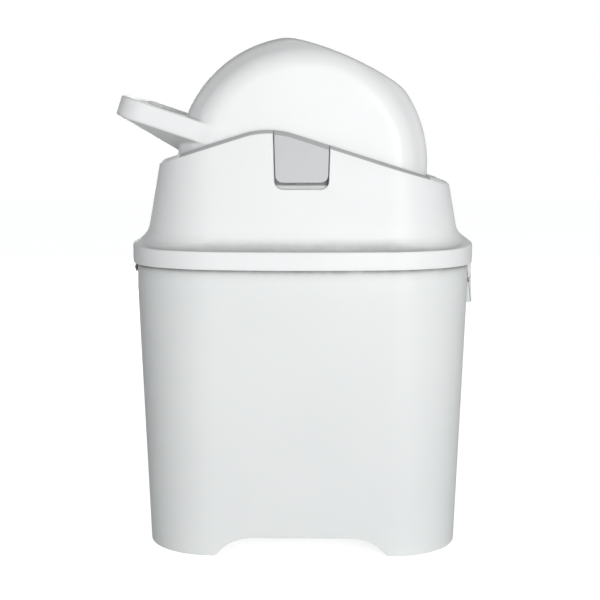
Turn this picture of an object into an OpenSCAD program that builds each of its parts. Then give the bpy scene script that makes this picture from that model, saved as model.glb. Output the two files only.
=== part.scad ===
// Nappy bin: a tapered bucket with a hinged lid, and in the lid a drum that flips over by its handle.
// A sealed piston slides in the chute that runs through the drum.
// +X is towards the latch, -Y is the front, +Z is up. The origin is on the floor under the bucket's centre.

/* [Plan of the bin] */
// Distance in X from the centre to each corner's centre of curvature
corner_x = 83.5; // [75:0.5:95]
// Distance in Y from the centre to each corner's centre of curvature
corner_y = 47; // [42:1:70]
// Corner radius of the bucket at the floor
base_r = 64.3; // [58:0.1:68]
// Corner radius of the bucket at the rim
rim_r = 74; // [72:0.1:76]
// Gap between the bucket's rim and the lid's band
band_gap = 1.6; // [1:0.1:3]

/* [Bucket] */
// Height of the rim above the floor
rim_z = 281; // [278:1:282]
// Height at which the taper ends and the wall turns upright
taper_top = 249; // [200:1:252]
// Thickness of the bucket's wall
bucket_wall = 2.6; // [2:0.1:4]
// Height of the bucket's inner floor
floor_z = 22.5; // [21:0.5:40]
// Height of the toe cut-out in the front of the skirt
toe_h = 17.3; // [10:0.1:19]
// Half the length of the toe cut-out's flat top
toe_flat = 47; // [30:1:60]
// Radius of the arcs at the toe cut-out's ends
toe_r = 42; // [30:1:60]

/* [Lid housing] */
// Height of the band's lower edge
band_z = 271.5; // [270:0.5:274]
// Height of the band's outer face
band_h = 17; // [14:0.5:18]
// Thickness of the lid's walls
lid_wall = 2.4; // [2:0.1:3]
// Thickness of the lid's roof
roof_t = 3.2; // [2.5:0.1:4]
// How far the flare runs in before it curves upward
flare_in = 8.5; // [6:0.5:10]
// Radius of the flare's concave curve
flare_r = 15.5; // [12:0.5:18]
// Slope of the flare's lower part, in degrees above level
flare_low = 33; // [25:1:40]
// Lean of the lid's walls, in degrees from upright
wall_lean = 10; // [6:1:12]
// Distance from the centre to the roof's ridge, to the left
ridge_x = 30.4; // [20:0.1:40]
// Height at which the two roof slopes would meet
ridge_z = 399.8; // [398:0.1:402]
// Fall of the roof to the left, in degrees
roof_left = 17.4; // [15:0.1:18]
// Fall of the roof to the right, in degrees
roof_right = 17.5; // [15:0.1:18]
// Radius of the roof's rounded ridge
ridge_r = 77; // [40:1:90]
// Width and height of the bevel along the roof's edge
bevel = 3.4; // [2:0.1:4]

/* [Bearing caps] */
// Width of a cap's face
cap_w = 50; // [44:1:56]
// Height of the lower edge of a cap's face
cap_z = 348.4; // [346:0.1:352]
// Depth of the recess left open below a cap
cap_recess = 5.3; // [3:0.1:8]
// Thickness of a cap's face plate
cap_t = 4.4; // [3.5:0.1:4.6]
// Radius of the cap's lower corners
cap_corner = 6.5; // [3:0.5:10]
// Radius of the block behind the face that holds the axle stub
cap_block_r = 17; // [15:0.5:20]

/* [Drum] */
// Radius of the drum
drum_r = 117.5; // [114:0.1:118]
// Half the depth of the drum
drum_hd = 85; // [82:0.5:86]
// Radius of the drum's rounded edges
drum_edge = 24; // [16:1:30]
// Height of the drum's axis above the floor
drum_z = 365; // [364:0.5:366]
// Thickness of the drum's wall
drum_wall = 3; // [2.5:0.1:4]
// Lean of the chute to the right, in degrees from upright
chute_lean = 23.5; // [22:0.5:28]
// Distance from the drum's axis to the crown round each mouth
crown_h = 107.5; // [106:0.1:109]
// Radius of the crowned surface round each mouth
crown_r = 330; // [300:10:450]
// Radius of the drum's axle stubs
stub_r = 11; // [8:0.5:12]
// How far the handle reaches from the drum's axis
handle_reach = 179.5; // [165:0.5:182]
// Rise of the handle, in degrees above level
handle_rise = 18.5; // [17:0.5:20]
// Thickness of the handle's plate
handle_t = 18.6; // [14:0.1:20]
// Radius of the handle's outer corners
handle_corner = 24; // [15:1:30]
// Largest angle that the drum flips through, in degrees
flip_max = 162; // [150:1:162]

/* [Chute and piston] */
// Inner radius of the chute
chute_r = 47.5; // [45:0.1:48]
// Thickness of the chute liner
chute_wall = 2.4; // [2:0.1:2.4]
// Half the distance between the two retaining rings
chute_half = 95; // [90:0.5:96]
// Inner radius of the retaining rings
ring_r = 45.5; // [43:0.1:46]
// Length of the piston
piston_l = 78; // [60:1:90]

/* [Hinge and latch] */
// Radius of the hinge pin
pin_r = 2; // [1.5:0.1:2.2]
// Height of the hinge pin above the floor
hinge_z = 266; // [265:0.1:266.5]
// Outer radius of the lid's hinge hooks
hook_r = 4.6; // [4:0.1:4.8]
// Width of each hinge hook
hook_w = 33; // [20:1:34]
// Half the width of the latch
latch_hw = 32; // [24:1:40]
// Distance of the latch pin below the band's lower edge
latch_drop = 18.7; // [17.5:0.1:20.5]
// Height of the lower face of the catch
catch_z = 229.2; // [225:0.1:235]

/* [Clearances] */
// Gap between the drum and the lid's roof opening
opening_gap = 2; // [1.5:0.1:3]
// Gap between the drum and the trough
trough_gap = 2.7; // [2:0.1:3]
// Gap between the drum and the trough's seal
seal_gap = 0.5; // [0.3:0.1:1]
// Gap between parts that slide or turn past each other
slide_gap = 0.3; // [0.2:0.05:0.5]
// Radial gap of a pin or stub in its bore
pin_gap = 0.05; // [0.02:0.01:0.1]

/* [Hidden] */
$fn = 64;
corner_steps = 10;
lid_white = [0.94, 0.94, 0.93];
bucket_white = [0.89, 0.9, 0.89];
cap_grey = [0.78, 0.79, 0.8];
rubber_grey = [0.35, 0.36, 0.37];
steel = [0.72, 0.73, 0.75];

// lid: the band's outer radius, and the walls above the flare
band_r = rim_r + band_gap + lid_wall;
band_top = band_z + band_h;
band_round = 0.6;
slope_z = band_top + (flare_in - band_round) * tan(flare_low);
wall_foot = flare_in + flare_r * (sin(90 - wall_lean) - sin(flare_low));
wall_foot_z = slope_z + flare_r * (cos(flare_low) - cos(90 - wall_lean));
lid_hd = corner_y + band_r;
// the roof's height is read this far in from the band
roof_in = 28;
// roof: centre of the ridge's arc, and where the arc meets the two slopes
ridge_half = (roof_left + roof_right) / 2;
ridge_skew = (roof_right - roof_left) / 2;
arc_x = -ridge_x - ridge_r / cos(ridge_half) * sin(ridge_skew);
arc_z = ridge_z - ridge_r / cos(ridge_half) * cos(ridge_skew);
arc_left = arc_x - ridge_r * sin(roof_left);
arc_right = arc_x + ridge_r * sin(roof_right);
ridge_steps = 6;
// bearing pads behind the walls, and the blocks of the caps that sit in them
pad_hw = 32;
pad_z = 325;
pad_y = drum_hd + 3;
block_front = drum_hd + 11;
// drum: trough, opening and stubs
opening_hw = drum_r + opening_gap;
opening_hd = drum_hd + opening_gap + 1;
trough_r = drum_r + trough_gap;
trough_edge = drum_edge + trough_gap;
end_plate_y = drum_hd + 3.1;
stub_end = drum_hd + 10.2;
bore_r = chute_r + chute_wall + 0.1;
// window in the trough: half the angle that a mouth takes up, and half the depth
mouth_half = 27;
window_from = chute_lean + flip_max - mouth_half;
window_to = chute_lean + 180 + mouth_half;
window_hd = 50;
seal_w = 6;
// deck of the pan, and the bosses for its screws
deck_z = 284;
deck_t = 2.4;
deck_r = band_r - lid_wall - 0.6;
boss_at = [105, 98];
boss_r = 4.6;
boss_h = 51;
screw_r = 1.7;
screw_l = 22;
head_r = 3.6;
head_h = 2.4;
// handle, in the drum's frame turned by the handle's rise
handle_top = 7.2;
handle_hd = drum_hd - 0.4;
keel_x = 106;
keel_hw = 42;
keel_deep = 27;
dish_x = handle_reach - 34;
dish_size = [48, 144];
dish_r = 12;
dish_deep = 3.5;
// drum screws: distance across and along the chute, and radii of the posts, sleeves and heads
drum_screw_at = [72, 52];
drum_screw_r = 1.9;
post_r = 5;
sleeve_r = 7;
drum_head_r = 4;
drum_head_y = 12;
drum_screw_l = 30;
// hinge: the pocket in the bucket's wall, the block behind it, and the lugs in it
hinge_x = -(corner_x + rim_r) + 0.2;
pocket_hw = 46;
pocket_x = hinge_x + 6.8;
pocket_low = hinge_z - 8.5;
pocket_h = 16.5;
block_t = 2.7;
block_rim = 3;
lug_hw = 9;
lug_r = 3.6;
lug_end = 4;
hook_t = 3.6;
hook_leg_t = 1.8;
hook_leg_h = 5.5;
// latch: pin, tongue, flap, and how far the catch stands out at its top and its foot
bucket_side = corner_x + rim_r;
latch_x = bucket_side + 5;
latch_z = band_z - latch_drop;
knuckle_r = 2.2;
knuckle_w = 6;
latch_pin_r = 1;
tongue_in = corner_x + band_r - lid_wall;
tongue_out = bucket_side + 6.7;
flap_out = latch_x + knuckle_r;
catch_top = latch_z - knuckle_r - 0.6;
catch_top_out = 3.8;
catch_out = 6.3;
// larger than the whole bin
far = 600;
eps = 0.01;

// Points round the plan at a corner radius of 1: centre and direction of each, anticlockwise from +X.
// The stops are extra places along the front and the back where the roof's ridge needs them.
function plan(stops = []) = concat(
    [for (a = [0 : 90 / corner_steps : 90]) [corner_x, corner_y, cos(a), sin(a)]],
    [for (k = [len(stops) - 1 : -1 : 0]) [stops[k], corner_y, 0, 1]],
    [for (a = [90 : 90 / corner_steps : 180]) [-corner_x, corner_y, cos(a), sin(a)]],
    [for (a = [180 : 90 / corner_steps : 270]) [-corner_x, -corner_y, cos(a), sin(a)]],
    [for (k = [0 : 1 : len(stops) - 1]) [stops[k], -corner_y, 0, -1]],
    [for (a = [270 : 90 / corner_steps : 360]) [corner_x, -corner_y, cos(a), sin(a)]]);

function at(station, r, z) = [station[0] + r * station[2], station[1] + r * station[3], z];
function ring(stations, r, z) = [for (s = stations) at(s, r, z)];

// Closed skin through rings of equal length, lowest first. The last ring is bridged from back to front.
module loft(rings) {
    n = len(rings[0]);
    top = (len(rings) - 1) * n;
    polyhedron(
        points = [for (r = rings) each r],
        faces = concat(
            [[for (i = [0 : n - 1]) i]],
            [for (l = [0 : n : top - n], i = [0 : n - 1]) [l + i, l + n + i, l + n + (i + 1) % n]],
            [for (l = [0 : n : top - n], i = [0 : n - 1]) [l + i, l + n + (i + 1) % n, l + (i + 1) % n]],
            [for (i = [0 : n / 2 - 2]) [top + i, top + n - 1 - i, top + n - 2 - i]],
            [for (i = [0 : n / 2 - 2]) [top + i, top + n - 2 - i, top + i + 1]]));
}

// Flat outline with the bin's plan at corner radius r
module plan_flat(r) {
    square([2 * (corner_x + r), 2 * corner_y], center = true);
    square([2 * corner_x, 2 * (corner_y + r)], center = true);
    for (x = [-corner_x, corner_x], y = [-corner_y, corner_y])
        translate([x, y]) circle(r);
}

// Cylinder along Y between two depths
module rod_y(r, from, to) {
    translate([0, to, 0]) rotate([90, 0, 0]) cylinder(r = r, h = to - from);
}

// Cylinder along the chute's axis between two heights, in the drum's frame
module rod_chute(r, from, to) {
    rotate([0, chute_lean, 0]) translate([0, 0, from]) cylinder(r = r, h = to - from);
}

module at_drum() {
    translate([0, 0, drum_z]) children();
}

// ---- bucket ----

function bucket_r(z) = base_r + (rim_r - base_r) * min(z / taper_top, 1);

module bucket_solid(inset, low, high) {
    stations = plan();
    loft(concat(
        [ring(stations, bucket_r(low) - inset, low)],
        low < taper_top && high > taper_top ? [ring(stations, rim_r - inset, taper_top)] : [],
        [ring(stations, bucket_r(high) - inset, high)]));
}

// Toe cut-out: a flat top that runs down to the floor in an arc at each end
module toe_shape() {
    difference() {
        union() {
            translate([-toe_flat, -1]) square([2 * toe_flat, toe_h + 1]);
            for (s = [-1, 1])
                translate([s * toe_flat, toe_h - toe_r]) circle(toe_r);
        }
        translate([-far / 2, -far - 1]) square(far);
    }
}

module at_hinge() {
    translate([hinge_x, 0, hinge_z]) children();
}

module bucket() {
    color(bucket_white) difference() {
        union() {
            difference() {
                bucket_solid(0, 0, rim_z);
                bucket_solid(bucket_wall, floor_z, rim_z + 1);
                bucket_solid(bucket_wall, -1, floor_z - bucket_wall);
            }
            // block behind the hinge pocket
            translate([hinge_x + 1, -pocket_hw - 6, pocket_low - block_rim])
                cube([pocket_x - hinge_x - 1 + block_t, 2 * pocket_hw + 12, pocket_h + 2 * block_rim]);
            catch();
        }
        translate([pocket_x - 20, -pocket_hw, pocket_low]) cube([20, 2 * pocket_hw, pocket_h]);
        translate([0, -corner_y - base_r / 2, 0])
            rotate([90, 0, 0]) linear_extrude(base_r) toe_shape();
        at_hinge() rod_y(pin_r, -pocket_hw - lug_end, pocket_hw + lug_end);
    }
    color(bucket_white) hinge_lugs();
}

// Three lugs carry the hinge pin: one in the middle of the pocket and one at each end
module hinge_lugs() {
    outer = pocket_hw + lug_end;
    for (span = [[-lug_hw, lug_hw], [-outer, -pocket_hw + 1], [pocket_hw - 1, outer]])
        difference() {
            union() {
                at_hinge() rod_y(lug_r, span[0], span[1]);
                translate([hinge_x, span[0], hinge_z - lug_r])
                    cube([pocket_x - hinge_x + 1, span[1] - span[0], 2 * lug_r]);
            }
            at_hinge() rod_y(pin_r, -outer - 1, outer + 1);
        }
}

// Distance of the catch's outer face from the centre, at height z
function catch_x(z) = bucket_side + catch_top_out
    + (catch_out - catch_top_out) * (catch_top - z) / (catch_top - catch_z);

// Wedge that the latch flap lies against: it flares outward towards its flat lower face
module catch() {
    rotate([90, 0, 0]) linear_extrude(2 * latch_hw, center = true)
        polygon([
            [corner_x + bucket_r(catch_z) - 1, catch_z],
            [catch_x(catch_z), catch_z],
            [catch_x(catch_top), catch_top],
            [bucket_side - 1, catch_top + 1]]);
}

module hinge_pin() {
    color(steel) at_hinge() rod_y(pin_r, -pocket_hw - lug_end, pocket_hw + lug_end);
}

// ---- lid ----

// Height of the roof over x
function roof(x) =
    x < arc_left ? ridge_z + (x + ridge_x) * tan(roof_left)
    : x > arc_right ? ridge_z - (x + ridge_x) * tan(roof_right)
    : arc_z + sqrt(ridge_r * ridge_r - (x - arc_x) * (x - arc_x));

// Distance of the leaning wall in from the band, at height z
function wall_in(z) = wall_foot + (z - wall_foot_z) * tan(wall_lean);

// Point of the flare's concave curve where it climbs at the angle a, moved t into the wall
function flare(a, t) = [
    flare_in + flare_r * (sin(a) - sin(flare_low)) + t * sin(a),
    slope_z + flare_r * (cos(flare_low) - cos(a)) - t * cos(a)];

lid_stations = plan([for (k = [0 : ridge_steps]) arc_left + (arc_right - arc_left) * k / ridge_steps]);
roof_line = [for (s = lid_stations) roof(at(s, band_r - roof_in, 0)[0])];

// Ring that follows the roof, drop below it, on the leaning wall moved in by inset
function roof_ring(drop, inset) = [
    for (k = [0 : len(lid_stations) - 1])
        at(lid_stations[k], band_r - wall_in(roof_line[k] - bevel) - inset, roof_line[k] - drop)];

function flare_rings(t) = [
    for (k = [0 : 4])
        let (p = flare(flare_low + (90 - wall_lean - flare_low) * k / 4, t))
            ring(lid_stations, band_r - p[0], p[1])];

module lid_outer() {
    loft(concat(
        [ring(lid_stations, band_r, band_z), ring(lid_stations, band_r, band_top - 1)],
        [ring(lid_stations, band_r - band_round, band_top)],
        flare_rings(0),
        [roof_ring(bevel, 0), roof_ring(0, bevel)]));
}

module lid_inner() {
    low = flare(flare_low, lid_wall);
    loft(concat(
        [ring(lid_stations, band_r - lid_wall, band_z - 1)],
        [ring(lid_stations, band_r - lid_wall, low[1] - (low[0] - lid_wall) * tan(flare_low))],
        flare_rings(lid_wall),
        [roof_ring(roof_t, lid_wall)]));
}

// Frame on the leaning front wall: -Y points out of it, and the origin is level with the drum axis
module on_wall() {
    translate([0, wall_in(drum_z) - lid_hd, drum_z]) rotate([-wall_lean, 0, 0]) children();
}

// Plate on the front wall with rounded lower corners, grown by gap at its sides and lower edge
module cap_plate(gap, deep, from_z, thick) {
    low = (from_z - drum_z) / cos(wall_lean);
    r = cap_corner + gap;
    on_wall() translate([0, deep, 0]) rotate([90, 0, 0]) linear_extrude(thick) {
        translate([-cap_w / 2 - gap, low + r]) square([cap_w + 2 * gap, 70]);
        translate([-cap_w / 2 - gap + r, low]) square([cap_w + 2 * gap - 2 * r, 2 * r]);
        for (s = [-1, 1])
            translate([s * (cap_w / 2 + gap - r), low + r]) circle(r);
    }
}

// Upright slot with a round foot on the drum's axis
module cap_block(r, from, to) {
    at_drum() {
        rod_y(r, from, to);
        translate([-r, from, 0]) cube([2 * r, to - from, 60]);
    }
}

module bearing_cap() {
    difference() {
        intersection() {
            lid_outer();
            union() {
                cap_plate(0, cap_t, cap_z, cap_t + 3);
                cap_block(cap_block_r, -lid_hd, -pad_y);
            }
            // the block stays behind the face plate
            union() {
                cap_plate(0, cap_t + 5, cap_z, cap_t + 15);
                translate([-cap_w / 2, -block_front, pad_z]) cube([cap_w, 20, 100]);
            }
        }
        at_drum() rod_y(stub_r + pin_gap, -stub_end - slide_gap, 0);
    }
}

module front_bearing_cap() {
    color(cap_grey) bearing_cap();
}

module rear_bearing_cap() {
    color(cap_grey) mirror([0, 1, 0]) bearing_cap();
}

// Pad behind the wall that carries a bearing cap, with the pocket and slot for it
module bearing_pad() {
    intersection() {
        lid_outer();
        translate([-pad_hw, -lid_hd, pad_z]) cube([2 * pad_hw, lid_hd - pad_y, 100]);
    }
}

module bearing_seat() {
    cap_plate(slide_gap, cap_t + 0.1, cap_z - cap_recess, cap_t + 20);
    cap_block(cap_block_r + 0.1, -lid_hd - 5, 0);
}

module lid_housing() {
    color(lid_white) {
        difference() {
            union() {
                difference() {
                    lid_outer();
                    lid_inner();
                }
                bearing_pad();
                mirror([0, 1, 0]) bearing_pad();
                intersection() {
                    lid_outer();
                    for (x = [-1, 1], y = [-1, 1])
                        translate([x * boss_at[0], y * boss_at[1], deck_z + deck_t + 0.1])
                            cylinder(r = boss_r, h = boss_h);
                }
            }
            translate([0, 0, pad_z + 5]) linear_extrude(100) drum_opening();
            bearing_seat();
            mirror([0, 1, 0]) bearing_seat();
            for (x = [-1, 1], y = [-1, 1])
                translate([x * boss_at[0], y * boss_at[1], deck_z])
                    cylinder(r = screw_r + pin_gap, h = screw_l + 2);
        }
        for (y = [lug_hw + 2, -lug_hw - 2 - hook_w])
            translate([0, y, 0]) hinge_hook();
        latch_tongue();
    }
}

module drum_opening() {
    r = drum_edge + opening_gap;
    square([2 * (opening_hw - r), 2 * opening_hd], center = true);
    square([2 * opening_hw, 2 * (opening_hd - r)], center = true);
    for (x = [-1, 1], y = [-1, 1])
        translate([x * (opening_hw - r), y * (opening_hd - r)]) circle(r);
}

// C-shaped hook that clips over the hinge pin, with a leg down its outer side
module hinge_hook() {
    left = hinge_x - hook_r;
    difference() {
        union() {
            at_hinge() rod_y(hook_r, 0, hook_w);
            translate([left, 0, hinge_z - hook_leg_h]) cube([hook_leg_t, hook_w, hook_leg_h]);
            translate([left, 0, hinge_z]) cube([hook_t, hook_w, band_z - hinge_z + 1]);
        }
        at_hinge() {
            rod_y(pin_r + pin_gap, -1, hook_w + 1);
            translate([-0.8 * pin_r, -1, -2 * hook_r]) cube([1.6 * pin_r, hook_w + 2, 2 * hook_r]);
        }
    }
}

// Tongue below the band on the right, with a knuckle at each end for the latch pin
module latch_tongue() {
    translate([tongue_in, -latch_hw, latch_z + knuckle_r])
        cube([tongue_out - tongue_in, 2 * latch_hw, band_z + 2 - latch_z]);
    for (y = [-latch_hw, latch_hw - knuckle_w])
        difference() {
            union() {
                translate([latch_x, y, latch_z]) rod_y(knuckle_r, 0, knuckle_w);
                translate([latch_x - knuckle_r, y, latch_z])
                    cube([tongue_out - latch_x + knuckle_r, knuckle_w, knuckle_r + 0.1]);
            }
            translate([latch_x, y, latch_z]) rod_y(latch_pin_r + pin_gap, -1, knuckle_w + 1);
        }
}

module latch_pin() {
    color(steel) translate([latch_x, 0, latch_z]) rod_y(latch_pin_r, -latch_hw, latch_hw);
}

// Flap that lies against the catch and lifts outward about the latch pin
module latch_flap() {
    mid_hw = latch_hw - knuckle_w - slide_gap;
    top_z = latch_z - knuckle_r - slide_gap;
    color(lid_white) difference() {
        union() {
            rotate([90, 0, 0]) linear_extrude(2 * latch_hw, center = true)
                polygon([
                    [catch_x(top_z) + slide_gap, top_z],
                    [catch_x(catch_z) + slide_gap, catch_z],
                    [flap_out + 0.7, catch_z],
                    [flap_out, top_z - 6],
                    [flap_out, top_z]]);
            translate([latch_x, 0, latch_z]) rod_y(knuckle_r, -mid_hw, mid_hw);
            translate([latch_x, -mid_hw, top_z - 1]) cube([knuckle_r, 2 * mid_hw, knuckle_r + 1]);
        }
        translate([latch_x, 0, latch_z]) rod_y(latch_pin_r + pin_gap, -latch_hw, latch_hw);
    }
}

// ---- pan under the lid ----

// Part of the space round the drum's axis between two angles, clockwise from upright, in the XZ plane
module wedge(from, to, hd) {
    rotate([90, 0, 0]) linear_extrude(2 * hd, center = true)
        polygon(concat([[0, 0]], [for (a = [from : (to - from) / 4 : to]) 2 * drum_r * [sin(a), cos(a)]]));
}

// Everything below the roof's inner face
module under_roof() {
    gap = roof_t + 0.4;
    reach = 2 * drum_r;
    rotate([90, 0, 0]) linear_extrude(far, center = true)
        polygon(concat(
            [[-reach, 0], [-reach, roof(-reach) - gap]],
            [for (k = [0 : ridge_steps])
                let (x = arc_left + (arc_right - arc_left) * k / ridge_steps) [x, roof(x) - gap]],
            [[reach, roof(reach) - gap], [reach, 0]]));
}

module lid_pan() {
    color(lid_white) difference() {
        union() {
            difference() {
                translate([0, 0, deck_z]) linear_extrude(deck_t) plan_flat(deck_r);
                at_drum() barrel(trough_r, end_plate_y, trough_edge);
            }
            intersection() {
                at_drum() difference() {
                    barrel(trough_r + lid_wall, end_plate_y + lid_wall, trough_edge + lid_wall);
                    barrel(trough_r, end_plate_y, trough_edge);
                }
                under_roof();
            }
        }
        at_drum() wedge(window_from, window_to, window_hd);
        for (s = [-1, 1])
            translate([-pad_hw - 1, s * end_plate_y - 5, pad_z - 1]) cube([2 * pad_hw + 2, 10, 100]);
        for (x = [-1, 1], y = [-1, 1])
            translate([x * boss_at[0], y * boss_at[1], deck_z - 1])
                cylinder(r = screw_r + 0.4, h = deck_t + 2);
    }
}

module pan_screws() {
    color(steel) for (x = [-1, 1], y = [-1, 1])
        translate([x * boss_at[0], y * boss_at[1], deck_z]) {
            translate([0, 0, -head_h]) cylinder(r = head_r, h = head_h);
            cylinder(r = screw_r, h = screw_l);
        }
}

module lid_gasket() {
    color(rubber_grey) translate([0, 0, rim_z + slide_gap])
        linear_extrude(deck_z - rim_z - slide_gap)
            difference() {
                plan_flat(rim_r + 0.6);
                plan_flat(rim_r - 3.4);
            }
}

module trough_seal() {
    color(rubber_grey) at_drum() difference() {
        intersection() {
            difference() {
                rod_y(trough_r, -window_hd - seal_w, window_hd + seal_w);
                rod_y(drum_r + seal_gap, -drum_hd, drum_hd);
            }
            wedge(window_from - 4, window_to + 4, window_hd + seal_w);
        }
        wedge(window_from, window_to, window_hd);
    }
}

// ---- drum ----

module barrel(r, hd, edge) {
    rotate([90, 0, 0]) rotate_extrude() {
        translate([0, -hd]) square([r - edge, 2 * hd]);
        translate([0, edge - hd]) square([r, 2 * (hd - edge)]);
        for (y = [edge - hd, hd - edge])
            translate([r - edge, y]) circle(edge);
    }
}

// Barrel trimmed to the shallow crowns round the two mouths, with every face moved in by t
module crowned_barrel(t) {
    intersection() {
        barrel(drum_r - t, drum_hd - t, drum_edge - t);
        rotate([0, chute_lean, 0]) intersection() {
            translate([0, 0, crown_h - crown_r]) rod_y(crown_r - t, -100, 100);
            translate([0, 0, crown_r - crown_h]) rod_y(crown_r - t, -100, 100);
        }
    }
}

// Paddle handle with a keel below it. Local -X points out along the handle, and faces are moved in by t.
module handle_form(t, top) {
    r = handle_corner - t;
    low = handle_top - handle_t + t;
    tip = handle_reach - t;
    hd = handle_hd - t;
    rotate([0, handle_rise, 0]) hull() {
        for (y = [r - hd, hd - r])
            translate([r - tip, y, low]) cylinder(r = r, h = top - low, $fn = 32);
        translate([6 - keel_x, -hd, low]) cube([8, 2 * hd, top - low]);
        translate([-6 - keel_x, t - keel_hw, t - keel_deep]) cube([12, 2 * (keel_hw - t), keel_deep]);
    }
}

module handle_dish() {
    half = dish_size / 2 - [dish_r, dish_r];
    rotate([0, handle_rise, 0]) translate([-dish_x, 0, handle_top - dish_deep])
        linear_extrude(10) {
            square([dish_size[0], 2 * half[1]], center = true);
            square([2 * half[0], dish_size[1]], center = true);
            for (x = [-half[0], half[0]], y = [-half[1], half[1]])
                translate([x, y]) circle(dish_r);
        }
}

module at_drum_screws() {
    rotate([0, chute_lean, 0])
        for (x = [-1, 1], z = [-1, 1])
            translate([x * drum_screw_at[0], 0, z * drum_screw_at[1]]) children();
}

// Whole hollow drum with its handle, before it is split at mid-depth
module drum_body() {
    difference() {
        union() {
            crowned_barrel(0);
            handle_form(0, handle_top);
        }
        difference() {
            crowned_barrel(drum_wall);
            at_drum_screws() {
                rod_y(post_r, -drum_hd, 0);
                rod_y(sleeve_r, 0, drum_hd);
            }
        }
        difference() {
            handle_form(drum_wall, handle_top - dish_deep - drum_wall);
            barrel(drum_r - eps, drum_hd + 1, drum_edge);
        }
        handle_dish();
        rod_chute(bore_r, -drum_r, drum_r);
        at_drum_screws() {
            rod_y(drum_screw_r + pin_gap, drum_head_y - drum_screw_l - 2, 0);
            rod_y(drum_screw_r + 0.3, -1, drum_head_y + 1);
            rod_y(drum_head_r + 0.5, drum_head_y, drum_hd + 1);
        }
    }
}

module drum_half(side) {
    color(lid_white) at_drum() {
        intersection() {
            drum_body();
            translate([-far / 2, side < 0 ? -100 : 0, -far / 2]) cube([far, 100, far]);
        }
        if (side < 0)
            rod_y(stub_r, -stub_end, eps - drum_hd);
        else
            rod_y(stub_r, drum_hd - eps, stub_end);
    }
}

module drum_front_shell() {
    drum_half(-1);
}

module drum_rear_shell() {
    drum_half(1);
}

module drum_screws() {
    color(steel) at_drum() at_drum_screws() {
        rod_y(drum_screw_r, drum_head_y - drum_screw_l, drum_head_y);
        rod_y(drum_head_r, drum_head_y, drum_head_y + 3);
    }
}

module chute_tube() {
    color(lid_white) at_drum() difference() {
        rod_chute(chute_r + chute_wall, -chute_half, chute_half);
        rod_chute(chute_r, -chute_half - 1, chute_half + 1);
    }
}

module mouth_ring(from, to) {
    color(lid_white) at_drum() difference() {
        rod_chute(chute_r + chute_wall, from, to);
        rod_chute(ring_r, from - 1, to + 1);
    }
}

ring_end = crown_h - crown_r + sqrt(crown_r * crown_r - bore_r * bore_r) - 0.1;

module mouth_ring_a() {
    mouth_ring(chute_half, ring_end);
}

module mouth_ring_b() {
    mouth_ring(-ring_end, -chute_half);
}

// ---- piston ----

piston_low = 0.2 - chute_half;
piston_top = piston_low + piston_l;
piston_cap_t = 3;
piston_r = chute_r - 1.1;
groove_r = piston_r - 2;
seal_h = 4;
weight_r = 30;
weight_h = 12;
seal_at = [piston_top - 12, piston_low + 8];

module piston_body() {
    color(lid_white) at_drum() difference() {
        rod_chute(piston_r, piston_low + piston_cap_t, piston_top - piston_cap_t);
        rod_chute(groove_r - 2, piston_low, piston_top);
        for (h = seal_at)
            difference() {
                rod_chute(piston_r + 1, h, h + seal_h);
                rod_chute(groove_r, h - 1, h + seal_h + 1);
            }
    }
}

module piston_cap_a() {
    color(lid_white) at_drum() rod_chute(chute_r - 0.6, piston_top - piston_cap_t, piston_top);
}

module piston_cap_b() {
    color(lid_white) at_drum() rod_chute(chute_r - 0.6, piston_low, piston_low + piston_cap_t);
}

module piston_seal(h) {
    color(rubber_grey) at_drum() difference() {
        rod_chute(chute_r - 0.1, h, h + seal_h);
        rod_chute(groove_r, h - 1, h + seal_h + 1);
    }
}

module piston_seal_a() {
    piston_seal(seal_at[0]);
}

module piston_seal_b() {
    piston_seal(seal_at[1]);
}

module piston_weight() {
    from = piston_low + piston_cap_t;
    color(steel) at_drum() rod_chute(weight_r, from, from + weight_h);
}

bucket();
hinge_pin();
lid_housing();
lid_pan();
pan_screws();
lid_gasket();
trough_seal();
front_bearing_cap();
rear_bearing_cap();
latch_pin();
latch_flap();
drum_front_shell();
drum_rear_shell();
drum_screws();
chute_tube();
mouth_ring_a();
mouth_ring_b();
piston_body();
piston_cap_a();
piston_cap_b();
piston_seal_a();
piston_seal_b();
piston_weight();
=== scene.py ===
import bpy
import bmesh
import numpy as np
from math import cos, hypot, pi, radians, sin, sqrt, tan
from mathutils import Matrix, Vector


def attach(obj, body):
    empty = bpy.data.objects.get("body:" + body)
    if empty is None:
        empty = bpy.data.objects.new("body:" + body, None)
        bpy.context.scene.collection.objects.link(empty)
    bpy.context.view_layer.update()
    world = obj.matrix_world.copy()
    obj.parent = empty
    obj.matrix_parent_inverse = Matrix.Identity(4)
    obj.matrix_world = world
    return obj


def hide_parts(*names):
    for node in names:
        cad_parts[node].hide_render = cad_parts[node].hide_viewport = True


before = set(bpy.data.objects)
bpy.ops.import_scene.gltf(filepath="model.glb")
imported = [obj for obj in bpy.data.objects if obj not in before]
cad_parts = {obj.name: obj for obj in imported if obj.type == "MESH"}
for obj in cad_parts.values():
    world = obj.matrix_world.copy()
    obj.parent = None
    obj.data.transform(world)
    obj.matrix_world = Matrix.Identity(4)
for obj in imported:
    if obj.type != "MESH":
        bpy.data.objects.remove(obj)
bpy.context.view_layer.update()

# ---- View ----
# A 78 mm lens in front of the bin, at the height of the lid's ridge and a little to the right.
# It looks slightly down, at the middle of the bin.
EYE_DISTANCE, EYE_HEIGHT = 1.287, 0.3987
EYE_TURN, EYE_TILT = radians(0.96), radians(7.58)
EYE_SHIFT_LEFT = 0.00317
LENS_MM, FILM_MM = 78.0, 36.0


def linked(name, data):
    """An object of the data given, in the scene."""
    made = bpy.data.objects.new(name, data)
    bpy.context.scene.collection.objects.link(made)
    return made


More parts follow.
